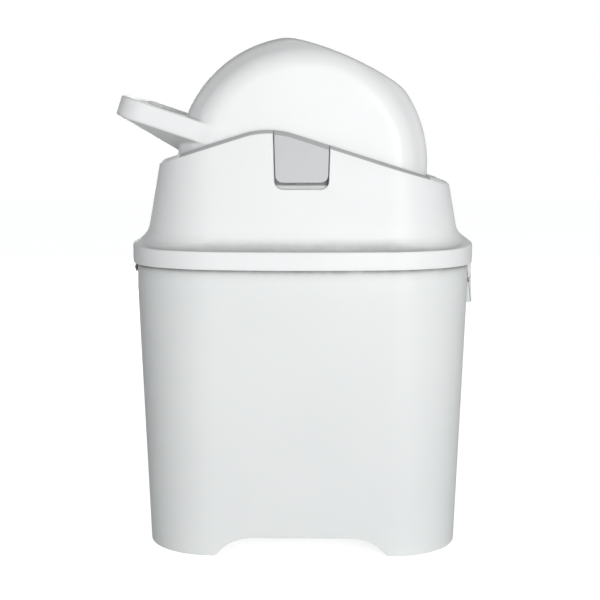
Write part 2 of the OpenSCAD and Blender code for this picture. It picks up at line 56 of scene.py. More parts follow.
eye = linked("camera", bpy.data.cameras.new("camera"))
eye.data.lens = LENS_MM
eye.data.sensor_width = FILM_MM
eye.data.clip_end = 20.0
eye.location = (
    EYE_DISTANCE * sin(EYE_TURN) - EYE_SHIFT_LEFT * cos(EYE_TURN),
    -EYE_DISTANCE * cos(EYE_TURN) - EYE_SHIFT_LEFT * sin(EYE_TURN),
    EYE_HEIGHT)
eye.rotation_euler = (pi / 2 - EYE_TILT, 0, EYE_TURN)
bpy.context.scene.camera = eye
bpy.context.scene.view_settings.view_transform = "Standard"

# ---- Studio ----
# A white floor that keeps a soft shadow, and pale walls under a darker ceiling. One large lamp stands low
# in front, and a weaker one at the back lights the other views.
FLOOR_SIZE = 12.0
FLOOR_COLOUR = (0.8, 0.8, 0.8, 1)
FLOOR_GLOW = 0.8
ROOM_COLOUR = (0.97, 0.99, 1, 1)
WALL_LIGHT, CEILING_LIGHT = 0.64, 0.1
CEILING_FROM, CEILING_FULL = 0.1, 0.85
LAMP_AIM, LAMP_SIZE = (0, 0, 0.25), 1.3
FRONT_LAMP, FRONT_WATTS = (0.7, -2.6, 0.5), 48
BACK_LAMP, BACK_WATTS = (-0.3, 2.6, 0.5), 22


def new_material(name, **values):
    """A material with one Principled shader set to the values, its node tree and that shader."""
    material = bpy.data.materials.new(name)
    material.use_nodes = True
    tree = material.node_tree
    tree.nodes.clear()
    shader = tree.nodes.new("ShaderNodeBsdfPrincipled")
    output = tree.nodes.new("ShaderNodeOutputMaterial")
    tree.links.new(shader.outputs["BSDF"], output.inputs["Surface"])
    for socket, value in values.items():
        shader.inputs[socket.replace("_", " ")].default_value = value
    return material, tree, shader


def put(tree, kind, values=None, **settings):
    """Adds a shader node with its settings, and its input values by name or number."""
    made = tree.nodes.new("ShaderNode" + kind)
    for key, value in settings.items():
        setattr(made, key, value)
    for key, value in (values or {}).items():
        made.inputs[key].default_value = value
    return made


def wire(tree, *links):
    """Links nodes. Each link is a node, its output, the next node and that node's input."""
    for start, output, end, entry in links:
        tree.links.new(start.outputs[output], end.inputs[entry])


floor_material, tree, shader = new_material(
    "studio_floor", Base_Color=FLOOR_COLOUR, Roughness=0.9, Specular_IOR_Level=0.0,
    Emission_Color=(1, 1, 1, 1))
rays = put(tree, "LightPath")
glow = put(tree, "Math", {1: FLOOR_GLOW}, operation="MULTIPLY")
wire(tree, (rays, "Is Camera Ray", glow, 0), (glow, 0, shader, "Emission Strength"))

floor_mesh = bpy.data.meshes.new("floor")
half = FLOOR_SIZE / 2
floor_mesh.from_pydata(
    [(-half, -half, 0), (half, -half, 0), (half, half, 0), (-half, half, 0)], [], [(0, 1, 2, 3)])
floor_mesh.materials.append(floor_material)
floor = linked("floor", floor_mesh)

world = bpy.data.worlds.new("surround")
bpy.context.scene.world = world
world.use_nodes = True
tree = world.node_tree
tree.nodes.clear()
output = put(tree, "OutputWorld")
blend = put(tree, "MixShader")
room = put(tree, "Background", {"Color": ROOM_COLOUR})
white = put(tree, "Background", {"Color": (1, 1, 1, 1), "Strength": 1.0})
rays = put(tree, "LightPath")
direction = put(tree, "TexCoord")
split = put(tree, "SeparateXYZ")
height = put(tree, "MapRange", {"From Min": CEILING_FROM, "From Max": CEILING_FULL, "To Min": WALL_LIGHT,
                                "To Max": CEILING_LIGHT}, interpolation_type="SMOOTHSTEP")
wire(tree,
     (direction, "Generated", split, 0), (split, "Z", height, "Value"),
     (height, "Result", room, "Strength"), (rays, "Is Camera Ray", blend, "Fac"), (room, 0, blend, 1),
     (white, 0, blend, 2), (blend, 0, output, "Surface"))

for name, place, watts in (("front_lamp", FRONT_LAMP, FRONT_WATTS), ("back_lamp", BACK_LAMP, BACK_WATTS)):
    lamp = bpy.data.lights.new(name, "AREA")
    lamp.size = LAMP_SIZE
    lamp.energy = watts
    lamp_stand = linked(name, lamp)
    lamp_stand.location = place
    lamp_stand.rotation_euler = (Vector(LAMP_AIM) - Vector(place)).to_track_quat("-Z", "Y").to_euler()

# ---- Bucket ----
# One injection moulding in white polypropylene. Its wall tapers to the foot and stands upright under the
# lid, and the floor sits up inside a skirt that is cut away in front for the toe. The hinge's lugs and the
# latch's catch, with two ribs above it, are moulded on.
CORNER_X, CORNER_Y = 83.5, 47.0
BASE_RADIUS, RIM_RADIUS = 64.3, 74.0
TAPER_TOP, RIM_Z = 249.0, 281.0
BUCKET_WALL = 2.6
FLOOR_Z = 22.5
TOE_HEIGHT, TOE_FLAT, TOE_RADIUS, TOE_FADE = 17.3, 47.0, 42.0, 48
SKIRT_ROWS = (14, 8, 4)
WALL_ROWS = (2.2, 5, 9, 14, 20, 27, 36, 48, 70, 100, 140, 180, 215, 235, 243, 247, 249, 251, 255, 262, 272)
INSIDE_ROWS = (260, 249, 200, 150, 100, 60, 40)
FOOT_EDGE, RIM_EDGE, FLOOR_ROUND, UNDERSIDE_ROUND, UNDERSIDE_BORDER = 0.9, 1.2, 10.0, 0.8, 6
BUCKET_SIDE = CORNER_X + RIM_RADIUS
HINGE_X, HINGE_Z = 0.2 - BUCKET_SIDE, 266.0
POCKET_HALF, POCKET_X, POCKET_LOW, POCKET_HIGH = 46.0, HINGE_X + 6.8, HINGE_Z - 8.5, HINGE_Z + 8.0
POCKET_MOUTH = POCKET_X - 20
BLOCK_WALL, BLOCK_OUT, BLOCK_RIM, BLOCK_END = 2.7, 1, 3, 6
SUNK = 1
LUG_RADIUS, LUG_SUNK = 3.6, 0.5
LUGS = ((-9, 9), (-50, -45), (45, 50))
LATCH_Z, LATCH_HALF = 252.8, 32.0
CATCH_TOP, CATCH_TOP_RISE, CATCH_Z = 250.0, 1, 229.2
CATCH_TOP_OUT, CATCH_OUT = 3.8, 6.3
RIB_WIDTH, RIB_TOP = 6.0, 269.6
RIB_LOW_OUT, RIB_OUT, RIB_TOP_OUT = 3.7, 2.2, 0.7
RIB_FLAT_LOW, RIB_FLAT_TOP = LATCH_Z - 1.2, LATCH_Z + 2.2
END_DEPTH, END_SWEEP = 1, 1.2
BUCKET_WHITE, BUCKET_FLOW = (0.835, 0.852, 0.846, 1), (0.81, 0.828, 0.823, 1)
BUCKET_EDGE = (0.94, 0.95, 0.95, 1)
CORNER_SHADE = (0.12, 0.12, 0.12, 1)
SHADE_FROM, SHADE_TO = 0.12, 0.23
CREASE = radians(32)


def plan_stations(long_steps=84, short_steps=24, corner_steps=20):
    """Arc centre and outward direction of each point round the oblong plan, anticlockwise from +X."""
    stations = []
    corners = [(1, 1, 0), (-1, 1, 90), (-1, -1, 180), (1, -1, 270)]
    for index, (sx, sy, start) in enumerate(corners):
        centre = Vector((sx * CORNER_X, sy * CORNER_Y))
        previous = corners[index - 1]
        before = Vector((previous[0] * CORNER_X, previous[1] * CORNER_Y))
        steps = short_steps if before.x == centre.x else long_steps
        out = Vector((cos(radians(start)), sin(radians(start))))
        for k in range(steps):
            stations.append((before.lerp(centre, k / steps), out))
        for k in range(corner_steps):
            turn = radians(start + 90 * k / corner_steps)
            stations.append((centre, Vector((cos(turn), sin(turn)))))
    return stations


STATIONS = plan_stations()


def ring(radius, height):
    """Points round the plan at a corner radius. height is a number, or a function of point and normal."""
    points = []
    for centre, out in STATIONS:
        spot = centre + radius * out
        z = height(spot, out) if callable(height) else height
        points.append((spot.x, spot.y, z))
    return points


def smoothed(mesh):
    """Shades a mesh smooth, with its creases kept sharp."""
    mesh.shade_smooth()
    mesh.set_sharp_from_angle(angle=CREASE)


def piece(name, points, faces):
    """A smooth-shaded object from points in millimetres."""
    mesh = bpy.data.meshes.new(name)
    mesh.from_pydata([(x / 1000, y / 1000, z / 1000) for x, y, z in points], [], faces)
    mesh.validate()
    smoothed(mesh)
    return linked(name, mesh)


def skinned(name, rings, closed=False):
    """A skin over rings of equal length. It is capped at both ends, or its last ring joins its first."""
    size = len(rings[0])
    points = [spot for row in rings for spot in row]
    faces = []
    for row in range(len(rings) if closed else len(rings) - 1):
        low, high = row * size, (row + 1) % len(rings) * size
        faces += [(low + i, low + (i + 1) % size, high + (i + 1) % size, high + i) for i in range(size)]
    if not closed:
        faces.append(tuple(reversed(range(size))))
        faces.append(tuple(range(len(points) - size, len(points))))
    return piece(name, points, faces)


def settle(made):
    """Applies the object's modifiers to its mesh."""
    bpy.context.view_layer.update()
    applied = made.evaluated_get(bpy.context.evaluated_depsgraph_get())
    finished = bpy.data.meshes.new_from_object(applied)
    made.modifiers.clear()
    old = made.data
    made.data = finished
    bpy.data.meshes.remove(old)
    smoothed(finished)


def bar(name, outline, low, high, round_off=0.4):
    """A straight bar from low to high along Y, with an outline of (x, z) and its edges rounded off."""
    count = len(outline)
    points = [(x, y, z) for y in (low, high) for x, z in outline]
    faces = [tuple(range(count)), tuple(reversed(range(count, 2 * count)))]
    faces += [(i, count + i, count + (i + 1) % count, (i + 1) % count) for i in range(count)]
    made = piece(name, points, faces)
    shape = bmesh.new()
    shape.from_mesh(made.data)
    bmesh.ops.recalc_face_normals(shape, faces=shape.faces)
    shape.to_mesh(made.data)
    shape.free()
    if round_off:
        bevel = made.modifiers.new("rounded_edges", "BEVEL")
        bevel.width = round_off / 1000
        bevel.segments = 3
        bevel.limit_method = "ANGLE"
        bevel.angle_limit = CREASE
        settle(made)
    return made


def oblong(left, right, low, high):
    """Outline of a rectangle, as (x, z)."""
    return [(left, low), (right, low), (right, high), (left, high)]


def arc(x, z, radius, steps=32, start=0.0, sweep=360.0):
    """Points of an arc round (x, z), from start and through sweep in degrees."""
    turns = [radians(start + sweep * k / steps) for k in range(steps if sweep == 360.0 else steps + 1)]
    return [(x + radius * cos(turn), z + radius * sin(turn)) for turn in turns]


def cut(made, tool):
    """Takes tool away from made, and deletes tool."""
    boolean = made.modifiers.new("cut", "BOOLEAN")
    boolean.operation = "DIFFERENCE"
    boolean.solver = "EXACT"
    boolean.object = tool
    settle(made)
    bpy.data.objects.remove(tool)


def joined(name, *parts):
    """The parts as one object with the first's materials. Flat faces stay flat beside rounded edges."""
    shape = bmesh.new()
    mesh = bpy.data.meshes.new(name)
    for material in parts[0].data.materials:
        mesh.materials.append(material)
    for part in parts:
        shape.from_mesh(part.data)
        bpy.data.objects.remove(part)
    shape.to_mesh(mesh)
    shape.free()
    smoothed(mesh)
    made = linked(name, mesh)
    made.modifiers.new("flat_faces", "WEIGHTED_NORMAL").keep_sharp = True
    return made


def effect(name, inputs, outputs):
    """A new shader node group and its two end nodes. A socket whose name has Colour in it is a colour."""
    group = bpy.data.node_groups.new(name, "ShaderNodeTree")
    for in_out, labels in (("INPUT", inputs), ("OUTPUT", outputs)):
        for label in labels:
            kind = "NodeSocketColor" if "Colour" in label else "NodeSocketFloat"
            group.interface.new_socket(label, in_out=in_out, socket_type=kind)
    return group, group.nodes.new("NodeGroupInput"), group.nodes.new("NodeGroupOutput")


# Moulded skin: faint clouds where the melt flowed, the fine grain of the steel mould, and uneven gloss
skin_effect, given, made_out = effect(
    "moulded_skin",
    ("Colour", "Flow Colour", "Flow Scale", "Grain Scale", "Gloss Scale", "Smooth", "Matt"),
    ("Colour", "Roughness", "Height"))
place = put(skin_effect, "TexCoord")
flow = put(skin_effect, "TexNoise", {"Detail": 2.0, "Roughness": 0.45, "Distortion": 0.2})
cloud = put(skin_effect, "MapRange", {"From Min": 0.25, "From Max": 0.75}, interpolation_type="SMOOTHSTEP")
tint = put(skin_effect, "Mix", data_type="RGBA")
grain = put(skin_effect, "TexNoise", {"Detail": 2.0, "Roughness": 0.6})
sheen = put(skin_effect, "TexNoise", {"Detail": 4.0, "Roughness": 0.6})
gloss = put(skin_effect, "MapRange", {"From Min": 0.3, "From Max": 0.7})
wire(skin_effect,
     (place, "Object", flow, "Vector"), (given, "Flow Scale", flow, "Scale"),
     (flow, "Fac", cloud, "Value"), (cloud, "Result", tint, "Factor"), (given, "Colour", tint, "A"),
     (given, "Flow Colour", tint, "B"), (tint, "Result", made_out, "Colour"),
     (place, "Object", grain, "Vector"), (given, "Grain Scale", grain, "Scale"),
     (grain, "Fac", made_out, "Height"), (place, "Object", sheen, "Vector"),
     (given, "Gloss Scale", sheen, "Scale"), (sheen, "Fac", gloss, "Value"),
     (given, "Smooth", gloss, "To Min"), (given, "Matt", gloss, "To Max"),
     (gloss, "Result", made_out, "Roughness"))


def in_patches(group, given, made_out, strength, label, scale, patch, least):
    """Ends an effect by mixing in the colour called label, by a node's strength and in patches."""
    place = put(group, "TexCoord")
    patches = put(group, "TexNoise", {"Scale": scale, "Detail": 3.0})
    uneven = put(group, "MapRange", {"From Min": patch[0], "From Max": patch[1], "To Min": least})
    share = put(group, "Math", operation="MULTIPLY")
    amount = put(group, "Math", operation="MULTIPLY")
    tint = put(group, "Mix", data_type="RGBA")
    wire(group,
         (place, "Object", patches, "Vector"), (patches, "Fac", uneven, "Value"),
         (strength, "Result", share, 0), (uneven, "Result", share, 1), (share, "Value", amount, 0),
         (given, "Amount", amount, 1), (amount, "Value", tint, "Factor"), (given, "Colour", tint, "A"),
         (given, label, tint, "B"), (tint, "Result", made_out, "Colour"))


# Rubbed edges and painted highlight: outer edges painted a little lighter, in patches, as wear from handling
# and as a highlight along them
edge_effect, given, made_out = effect(
    "rubbed_edges_and_highlight", ("Colour", "Edge Colour", "Width", "Amount"), ("Colour",))
rounded = put(edge_effect, "Bevel", samples=4)
surface = put(edge_effect, "NewGeometry")
bend = put(edge_effect, "VectorMath", operation="DOT_PRODUCT")
edge = put(edge_effect, "MapRange", {"From Min": 0.992, "From Max": 0.9})
wire(edge_effect,
     (given, "Width", rounded, "Radius"), (rounded, "Normal", bend, 0), (surface, "Normal", bend, 1),
     (bend, "Value", edge, "Value"))
in_patches(edge_effect, given, made_out, edge, "Edge Colour", 45.0, (0.35, 0.6), 0.45)

# Painted corner shade: dark grey painted into gaps and inner corners where ambient occlusion finds them
# sheltered, in patches
corner_shade_effect, given, made_out = effect(
    "painted_corner_shade", ("Colour", "Shade Colour", "Reach", "Starts", "Full", "Amount"), ("Colour",))
shelter = put(corner_shade_effect, "AmbientOcclusion", samples=8)
hidden = put(corner_shade_effect, "MapRange", interpolation_type="SMOOTHSTEP")
wire(corner_shade_effect,
     (given, "Reach", shelter, "Distance"), (shelter, "AO", hidden, "Value"),
     (given, "Starts", hidden, "From Min"), (given, "Full", hidden, "From Max"))
in_patches(corner_shade_effect, given, made_out, hidden, "Shade Colour", 80.0, (0.3, 0.65), 0.7)


def plastic(name, colour, flow_colour, edge_colour, grain_scale, grain_depth, smooth, matt,
            edge_width=0.0009, edge_amount=0.6,
            shade_reach=0.006, shade_starts=0.62, shade_full=0.2, shade_amount=0.8):
    """A moulded plastic with its own grain and gloss, edges painted lighter as wear and highlight, and
    painted shade in its corners.
    """
    material, tree, shader = new_material(name, Specular_IOR_Level=0.45)
    skin = put(tree, "Group", {"Colour": colour, "Flow Colour": flow_colour, "Flow Scale": 7.0,
                               "Grain Scale": grain_scale, "Gloss Scale": 30.0, "Smooth": smooth,
                               "Matt": matt},
               node_tree=skin_effect)
    edges = put(tree, "Group", {"Edge Colour": edge_colour, "Width": edge_width, "Amount": edge_amount},
                node_tree=edge_effect)
    # Painted shade: dark grey mixed into gaps and inner corners by ambient occlusion
    corner_shade = put(tree, "Group", {"Shade Colour": CORNER_SHADE, "Reach": shade_reach, "Starts": shade_starts,
                               "Full": shade_full, "Amount": shade_amount},
               node_tree=corner_shade_effect, name="corner_shade")
    bump = put(tree, "Bump", {"Strength": 0.25, "Distance": grain_depth})
    wire(tree,
         (skin, "Colour", edges, "Colour"), (edges, "Colour", corner_shade, "Colour"),
         (corner_shade, "Colour", shader, "Base Color"), (skin, "Roughness", shader, "Roughness"),
         (skin, "Height", bump, "Height"), (bump, "Normal", shader, "Normal"))
    return material


def finish(made, material):
    """Gives the whole of an object one material."""
    made.data.materials.clear()
    made.data.materials.append(material)


def swept_back(made, half):
    """Slopes both ends of a part, half its length from the middle, to turn back like the rim's corner."""
    for vertex in made.data.vertices:
        x, y, z = vertex.co * 1000
        if abs(y) > half - END_DEPTH:
            back = END_SWEEP * max(abs(x) - BUCKET_SIDE, 0)
            vertex.co.y = (y - back if y > 0 else y + back) / 1000


def bucket_radius(z):
    """Corner radius of the bucket's outer face at height z."""
    return BASE_RADIUS + (RIM_RADIUS - BASE_RADIUS) * min(z / TAPER_TOP, 1)


def toe(x):
    """Height of the toe cut-out's edge over x."""
    beyond = max(abs(x) - TOE_FLAT, 0)
    if beyond >= TOE_RADIUS:
        return 0.0
    return max(TOE_HEIGHT - TOE_RADIUS + sqrt(TOE_RADIUS ** 2 - beyond ** 2), 0.0)


def lifted(z, reach):
    """Height of a ring near the foot, pushed up in front by the toe cut-out and level again at reach."""
    return lambda spot, out: z + (toe(spot.x) * (1 - z / reach) if out.y < -0.999 and z < reach else 0)


def rounding(size, turns):
    """Steps round an edge of the size given, as (inset, drop) from its corner, at turns in degrees."""
    return [(size * (1 - cos(radians(turn))), size * (1 - sin(radians(turn)))) for turn in turns]


# The skin starts under the floor, goes down inside the skirt, up outside and back down to the floor
UNDERSIDE = FLOOR_Z - BUCKET_WALL
skirt_radius = bucket_radius(0) - BUCKET_WALL
rings = [ring(skirt_radius - inset, UNDERSIDE) for inset in (UNDERSIDE_BORDER, UNDERSIDE_ROUND)]
for z in (UNDERSIDE - UNDERSIDE_ROUND, *SKIRT_ROWS):
    rings.append(ring(bucket_radius(z) - BUCKET_WALL, lifted(z, UNDERSIDE)))
for inset, drop in rounding(FOOT_EDGE, (0, 30, 60, 90)):
    rings.append(ring(skirt_radius + inset, lifted(drop, UNDERSIDE)))
for inset, drop in rounding(FOOT_EDGE, (90, 60, 30, 0)):
    rings.append(ring(bucket_radius(0) - inset, lifted(drop, TOE_FADE)))
for z in (*WALL_ROWS, RIM_Z - RIM_EDGE):
    rings.append(ring(bucket_radius(z), lifted(z, TOE_FADE)))
for flat, turns in ((0, (30, 60, 90)), (BUCKET_WALL - 2 * RIM_EDGE, (120, 150, 180))):
    for inset, drop in rounding(RIM_EDGE, turns):
        rings.append(ring(RIM_RADIUS - inset - flat, RIM_Z - drop))
for z in INSIDE_ROWS:
    rings.append(ring(bucket_radius(z) - BUCKET_WALL, z))
for inset, drop in rounding(FLOOR_ROUND, (0, 22, 45, 67, 90)):
    rings.append(ring(bucket_radius(FLOOR_Z) - BUCKET_WALL - inset, FLOOR_Z + drop))
bucket = skinned("bucket_moulding", rings)

# The hinge sits in a pocket with a thicker wall round it
outline = oblong(HINGE_X + BLOCK_OUT, POCKET_X + BLOCK_WALL, POCKET_LOW - BLOCK_RIM, POCKET_HIGH + BLOCK_RIM)
block = bar("block", outline, -POCKET_HALF - BLOCK_END, POCKET_HALF + BLOCK_END)
for part in (bucket, block):
    outline = oblong(POCKET_MOUTH, POCKET_X, POCKET_LOW, POCKET_HIGH)
    cut(part, bar("pocket", outline, -POCKET_HALF, POCKET_HALF, 0))
lugs = []
for low, high in LUGS:
    outline = [(POCKET_X + LUG_SUNK, HINGE_Z + LUG_RADIUS)]
    outline += arc(HINGE_X, HINGE_Z, LUG_RADIUS, 16, 90, 180)
    lugs.append(bar("lug", outline + [(POCKET_X + LUG_SUNK, HINGE_Z - LUG_RADIUS)], low, high))
# The catch and its ribs are sunk a little into the wall that carries them
catch = bar("catch", [(CORNER_X + bucket_radius(CATCH_Z) - SUNK, CATCH_Z),
                      (BUCKET_SIDE + CATCH_OUT, CATCH_Z), (BUCKET_SIDE + CATCH_TOP_OUT, CATCH_TOP),
                      (BUCKET_SIDE - SUNK, CATCH_TOP + CATCH_TOP_RISE)],
            -LATCH_HALF, LATCH_HALF)
ribs = []
for low in (-LATCH_HALF, LATCH_HALF - RIB_WIDTH):
    outline = [(BUCKET_SIDE - SUNK, CATCH_TOP - SUNK), (BUCKET_SIDE + RIB_LOW_OUT, CATCH_TOP - SUNK),
               (BUCKET_SIDE + RIB_OUT, RIB_FLAT_LOW), (BUCKET_SIDE + RIB_OUT, RIB_FLAT_TOP),
               (BUCKET_SIDE + RIB_TOP_OUT, RIB_TOP), (BUCKET_SIDE - SUNK, RIB_TOP)]
    ribs.append(bar("catch_rib", outline, low, low + RIB_WIDTH))
for part in (catch, *ribs):
    swept_back(part, LATCH_HALF)
bucket = joined("bucket_moulding", bucket, block, catch, *ribs, *lugs)
bucket_white = plastic("bucket_white", BUCKET_WHITE, BUCKET_FLOW, BUCKET_EDGE, grain_scale=900,
                       grain_depth=0.0001, smooth=0.36, matt=0.5, shade_reach=0.012, shade_starts=0.95,
                       shade_full=0.7)
# Its painted shade is strong up under the lid's band and fades out towards the foot
tree = bucket_white.node_tree
place, height = put(tree, "TexCoord"), put(tree, "SeparateXYZ")
rim_shade = put(tree, "MapRange", {"From Min": SHADE_FROM, "From Max": SHADE_TO, "To Max": 0.85})
wire(tree,
     (place, "Object", height, 0), (height, "Z", rim_shade, "Value"),
     (rim_shade, "Result", tree.nodes["corner_shade"], "Amount"))
finish(bucket, bucket_white)
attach(bucket, "bin")
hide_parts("bucket")

# ---- Hinge pin ----
# A zinc-plated steel rod, 4 mm thick, pressed through the three lugs at the left of the bucket's rim.
# Its plating is drawn and streaky, and dull where the hooks turn on it.
STEEL, STEEL_WORN = (0.42, 0.43, 0.45, 1), (0.28, 0.285, 0.29, 1)
STREAKS_ALONG, STREAKS_ACROSS = 60.0, 2200.0


def plated_steel(name, stretch):
    """Plated steel with fine streaks. stretch is how closely they vary along X, Y and Z."""
    material, tree, shader = new_material(name, Metallic=1.0)
    place = put(tree, "TexCoord")
    squeeze = put(tree, "VectorMath", {1: stretch}, operation="MULTIPLY")
    streaks = put(tree, "TexNoise", {"Scale": 1.0, "Detail": 4.0})
    blotches = put(tree, "TexNoise", {"Scale": 350.0, "Detail": 3.0})
    worn = put(tree, "MapRange", {"From Min": 0.45, "From Max": 0.7})
    tint = put(tree, "Mix", {"A": STEEL, "B": STEEL_WORN}, data_type="RGBA")
    gloss = put(tree, "MapRange", {"From Min": 0.3, "From Max": 0.7, "To Min": 0.38, "To Max": 0.6})
    bump = put(tree, "Bump", {"Strength": 0.3, "Distance": 0.00005})
    wire(tree,
         (place, "Object", squeeze, 0), (squeeze, "Vector", streaks, "Vector"),
         (place, "Object", blotches, "Vector"), (blotches, "Fac", worn, "Value"),
         (worn, "Result", tint, "Factor"), (tint, "Result", shader, "Base Color"),
         (streaks, "Fac", gloss, "Value"), (gloss, "Result", shader, "Roughness"),
         (streaks, "Fac", bump, "Height"), (bump, "Normal", shader, "Normal"))
    return material


pin_steel = plated_steel("pin_steel", (STREAKS_ACROSS, STREAKS_ALONG, STREAKS_ACROSS))
finish(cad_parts["hinge_pin"], pin_steel)

# ---- Lid housing ----
# One moulding in bright white polypropylene. Its bevelled edge along the roof is painted grey, as shade in
# the gap against the drum. A band hangs over the bucket's rim, a flare runs in above it, and leaning walls
# carry a two-slope roof, open for the drum.
# Hooks snap over the hinge pin, a tongue holds the latch, and two notches take the bearing caps.
LID_WALL, BAND_GAP = 2.4, 1.6
BAND_RADIUS = RIM_RADIUS + BAND_GAP + LID_WALL
BAND_Z, HEM_SAG, SAG_HALF = 271.4, 1.2, 110.0
BAND_PROFILE = ((LID_WALL, 0.6), (LID_WALL - 0.2, 0.15), (LID_WALL - 0.7, 0), (0.7, 0), (0.2, 0.15),
                (0, 0.7), (0, 6), (0, 11))
WALL_LEAN, FOOT_IN, FOOT_Z, WALL_STEPS = 10, 15.3, 303.9, 7
CORNER_BLEND = 0.8
FRONT_FLARE = {"top": 287.8, "edge": 0.9, "straight": 2.5, "slope": 5}
SIDE_FLARE = {"top": 290.0, "edge": 3.5, "straight": 7.0, "slope": 33}
FLARE_INSIDE = ((FOOT_IN + LID_WALL, FOOT_Z - 1), (10.9, 290.9), (LID_WALL, 286.1))
ROOF_THICKNESS, ROOF_BEVEL, BEVEL_ROUND = 3.2, 3.4, 0.25
ROOF_EDGE_IN, MOUTH_EDGE, CEILING_DROP, CEILING_IN = 28, 0.9, 0.6, 1
RIDGE_X, RIDGE_Z, RIDGE_RADIUS = -30.4, 399.8, 77
ROOF_LEFT, ROOF_RIGHT = 17.4, 17.5
OPENING_X, OPENING_Y, OPENING_RADIUS = 93.5, 62.0, 26.0
LID_HALF_DEPTH = CORNER_Y + BAND_RADIUS
CAP_HALF, CAP_TAPER, CAP_LOW, CAP_DEPTH, CAP_CORNER = 25.1, 0.031, 348.4, 4.4, 6.8
SEAT_GAP, SEAT_EDGE, SEAT_DEPTH, OUTSIDE, ABOVE_ROOF = 0.7, 0.5, CAP_DEPTH + 0.1, -3.0, -9.0
LEDGE_LOW, LEDGE_TOP, LEDGE_EDGE, LEDGE_BACK = 343.1, 345.7, 0.25, CAP_DEPTH + 0.8
LEDGE_LOW_DEPTH, LEDGE_TOP_DEPTH = 0.9, 3.0
PAD_HALF, PAD_LOW, PAD_Y, PAD_DEPTH, PAD_DROP, PAD_STEPS = 32.0, 325.0, 88.0, 4.6, 0.8, 32
SLOT_HALF, SLOT_LOW, SLOT_TOP, SLOT_DEPTH = 24.6, LEDGE_TOP - 0.4, 353.0, 13.0
HOOK_RADIUS, HOOK_WIDTH, HOOK_FROM = 4.6, 33.0, 11.0
HOOK_LEFT, HOOK_EDGE = HINGE_X - HOOK_RADIUS, 0.25
HOOK_TIP_LOW, HOOK_TIP_WIDE, HOOK_LEAD_IN = HINGE_Z - 5.5, 1.8, (HINGE_X - 1.7, HINGE_Z - 4.2)
HOOK_ROOT_WIDE, HOOK_ROOT_LOW = 3.6, ((0, 0.5), (2.6, 2.6), (3.6, 3.4))
HOOK_OUTSIDE = {"radius": HOOK_RADIUS, "steps": 20, "start": -60, "sweep": 240}
HOOK_BORE = {"radius": 2.05, "steps": 24, "start": 233, "sweep": -286}
TONGUE_IN, TONGUE_OUT, TONGUE_ROOT = CORNER_X + BAND_RADIUS - LID_WALL, BUCKET_SIDE + 6.7, BAND_Z + 3
TONGUE_LEAN, TONGUE_LEAN_FROM = 1.6, BAND_Z - 0.5
LATCH_X = BUCKET_SIDE + 5
KNUCKLE_RADIUS, KNUCKLE_WIDTH, KNUCKLE_RISE = 2.2, 8.0, 3
KNUCKLE_TOP = LATCH_Z + KNUCKLE_RADIUS
LID_WHITE, LID_FLOW, LID_EDGE = (0.9, 0.9, 0.9, 1), (0.875, 0.878, 0.88, 1), (0.95, 0.95, 0.95, 1)
ROOF_SHADE_GREY, ROOF_SHADE_FLOW, ROOF_SHADE_EDGE = (0.5, 0.505, 0.51, 1), (0.47, 0.475, 0.48, 1), (0.6, 0.6, 0.6, 1)
ROOF_SHADE_HALF = 116.0
SLOPE_SHADE, LEVEL_FROM, LEVEL_FULL = (-1.6, 0.0, 1.0), 0.3, 0.9
FLARE_UNSHADED_Z, FLARE_SHADED_Z, FLARE_LEAST = 0.315, 0.305, 0.15
GAP_LEAST, GAP_MOST, GAP_FADE = 0.1, 0.78, 0.3

half_angle = radians((ROOF_LEFT + ROOF_RIGHT) / 2)
skew = radians((ROOF_RIGHT - ROOF_LEFT) / 2)
arc_x = RIDGE_X - RIDGE_RADIUS / cos(half_angle) * sin(skew)
arc_z = RIDGE_Z - RIDGE_RADIUS / cos(half_angle) * cos(skew)
arc_left = arc_x - RIDGE_RADIUS * sin(radians(ROOF_LEFT))
arc_right = arc_x + RIDGE_RADIUS * sin(radians(ROOF_RIGHT))


def roof(x):
    """Height of the roof over x: two slopes joined by a rounded ridge."""
    if x < arc_left:
        return RIDGE_Z + (x - RIDGE_X) * tan(radians(ROOF_LEFT))
    if x > arc_right:
        return RIDGE_Z - (x - RIDGE_X) * tan(radians(ROOF_RIGHT))
    return arc_z + sqrt(RIDGE_RADIUS ** 2 - (x - arc_x) ** 2)


def wall_in(z):
    """How far the leaning wall stands in from the band at height z."""
    return FOOT_IN + (z - FOOT_Z) * tan(radians(WALL_LEAN))


def flare(top, edge, straight, slope, edge_steps=5, cove_steps=12):
    """Profile from band to leaning wall, as (inset, height): a rounded edge, a straight and a cove."""
    low, high = radians(slope), radians(90 - WALL_LEAN)
    turn = pi / 2 - low
    start = top - edge * tan(turn / 2)
    points = []
    for k in range(edge_steps + 1):
        bend = turn * k / edge_steps
        points.append((edge * (1 - cos(bend)), start + edge * sin(bend)))
    edge_in = points[-1][0]
    for share in (0.35, 0.7):
        inset = edge_in + (straight - edge_in) * share
        points.append((inset, top + inset * tan(low)))
    z = top + straight * tan(low)
    lean = (cos(low) - cos(high)) * tan(radians(WALL_LEAN))
    radius = (wall_in(z) - straight) / (sin(high) - sin(low) - lean)
    for k in range(cove_steps + 1):
        bend = low + (high - low) * k / cove_steps
        points.append((straight + radius * (sin(bend) - sin(low)), z + radius * (cos(low) - cos(bend))))
    return points


def hem(points, share):
    """The points let down by the sag of the band's edge, which is greatest at mid-length."""
    return [(x, y, z - share * HEM_SAG * max(1 - (x / SAG_HALF) ** 2, 0)) for x, y, z in points]


def flare_ring(front, side, share):
    """Ring through a point of each profile, front and side, which pass into each other at the corners."""
    points = []
    for centre, out in STATIONS:
        facing = min(abs(out.y) / CORNER_BLEND, 1)
        facing = facing * facing * (3 - 2 * facing)
        spot = centre + (BAND_RADIUS - side[0] - (front[0] - side[0]) * facing) * out
        points.append((spot.x, spot.y, side[1] + (front[1] - side[1]) * facing))
    return hem(points, share)


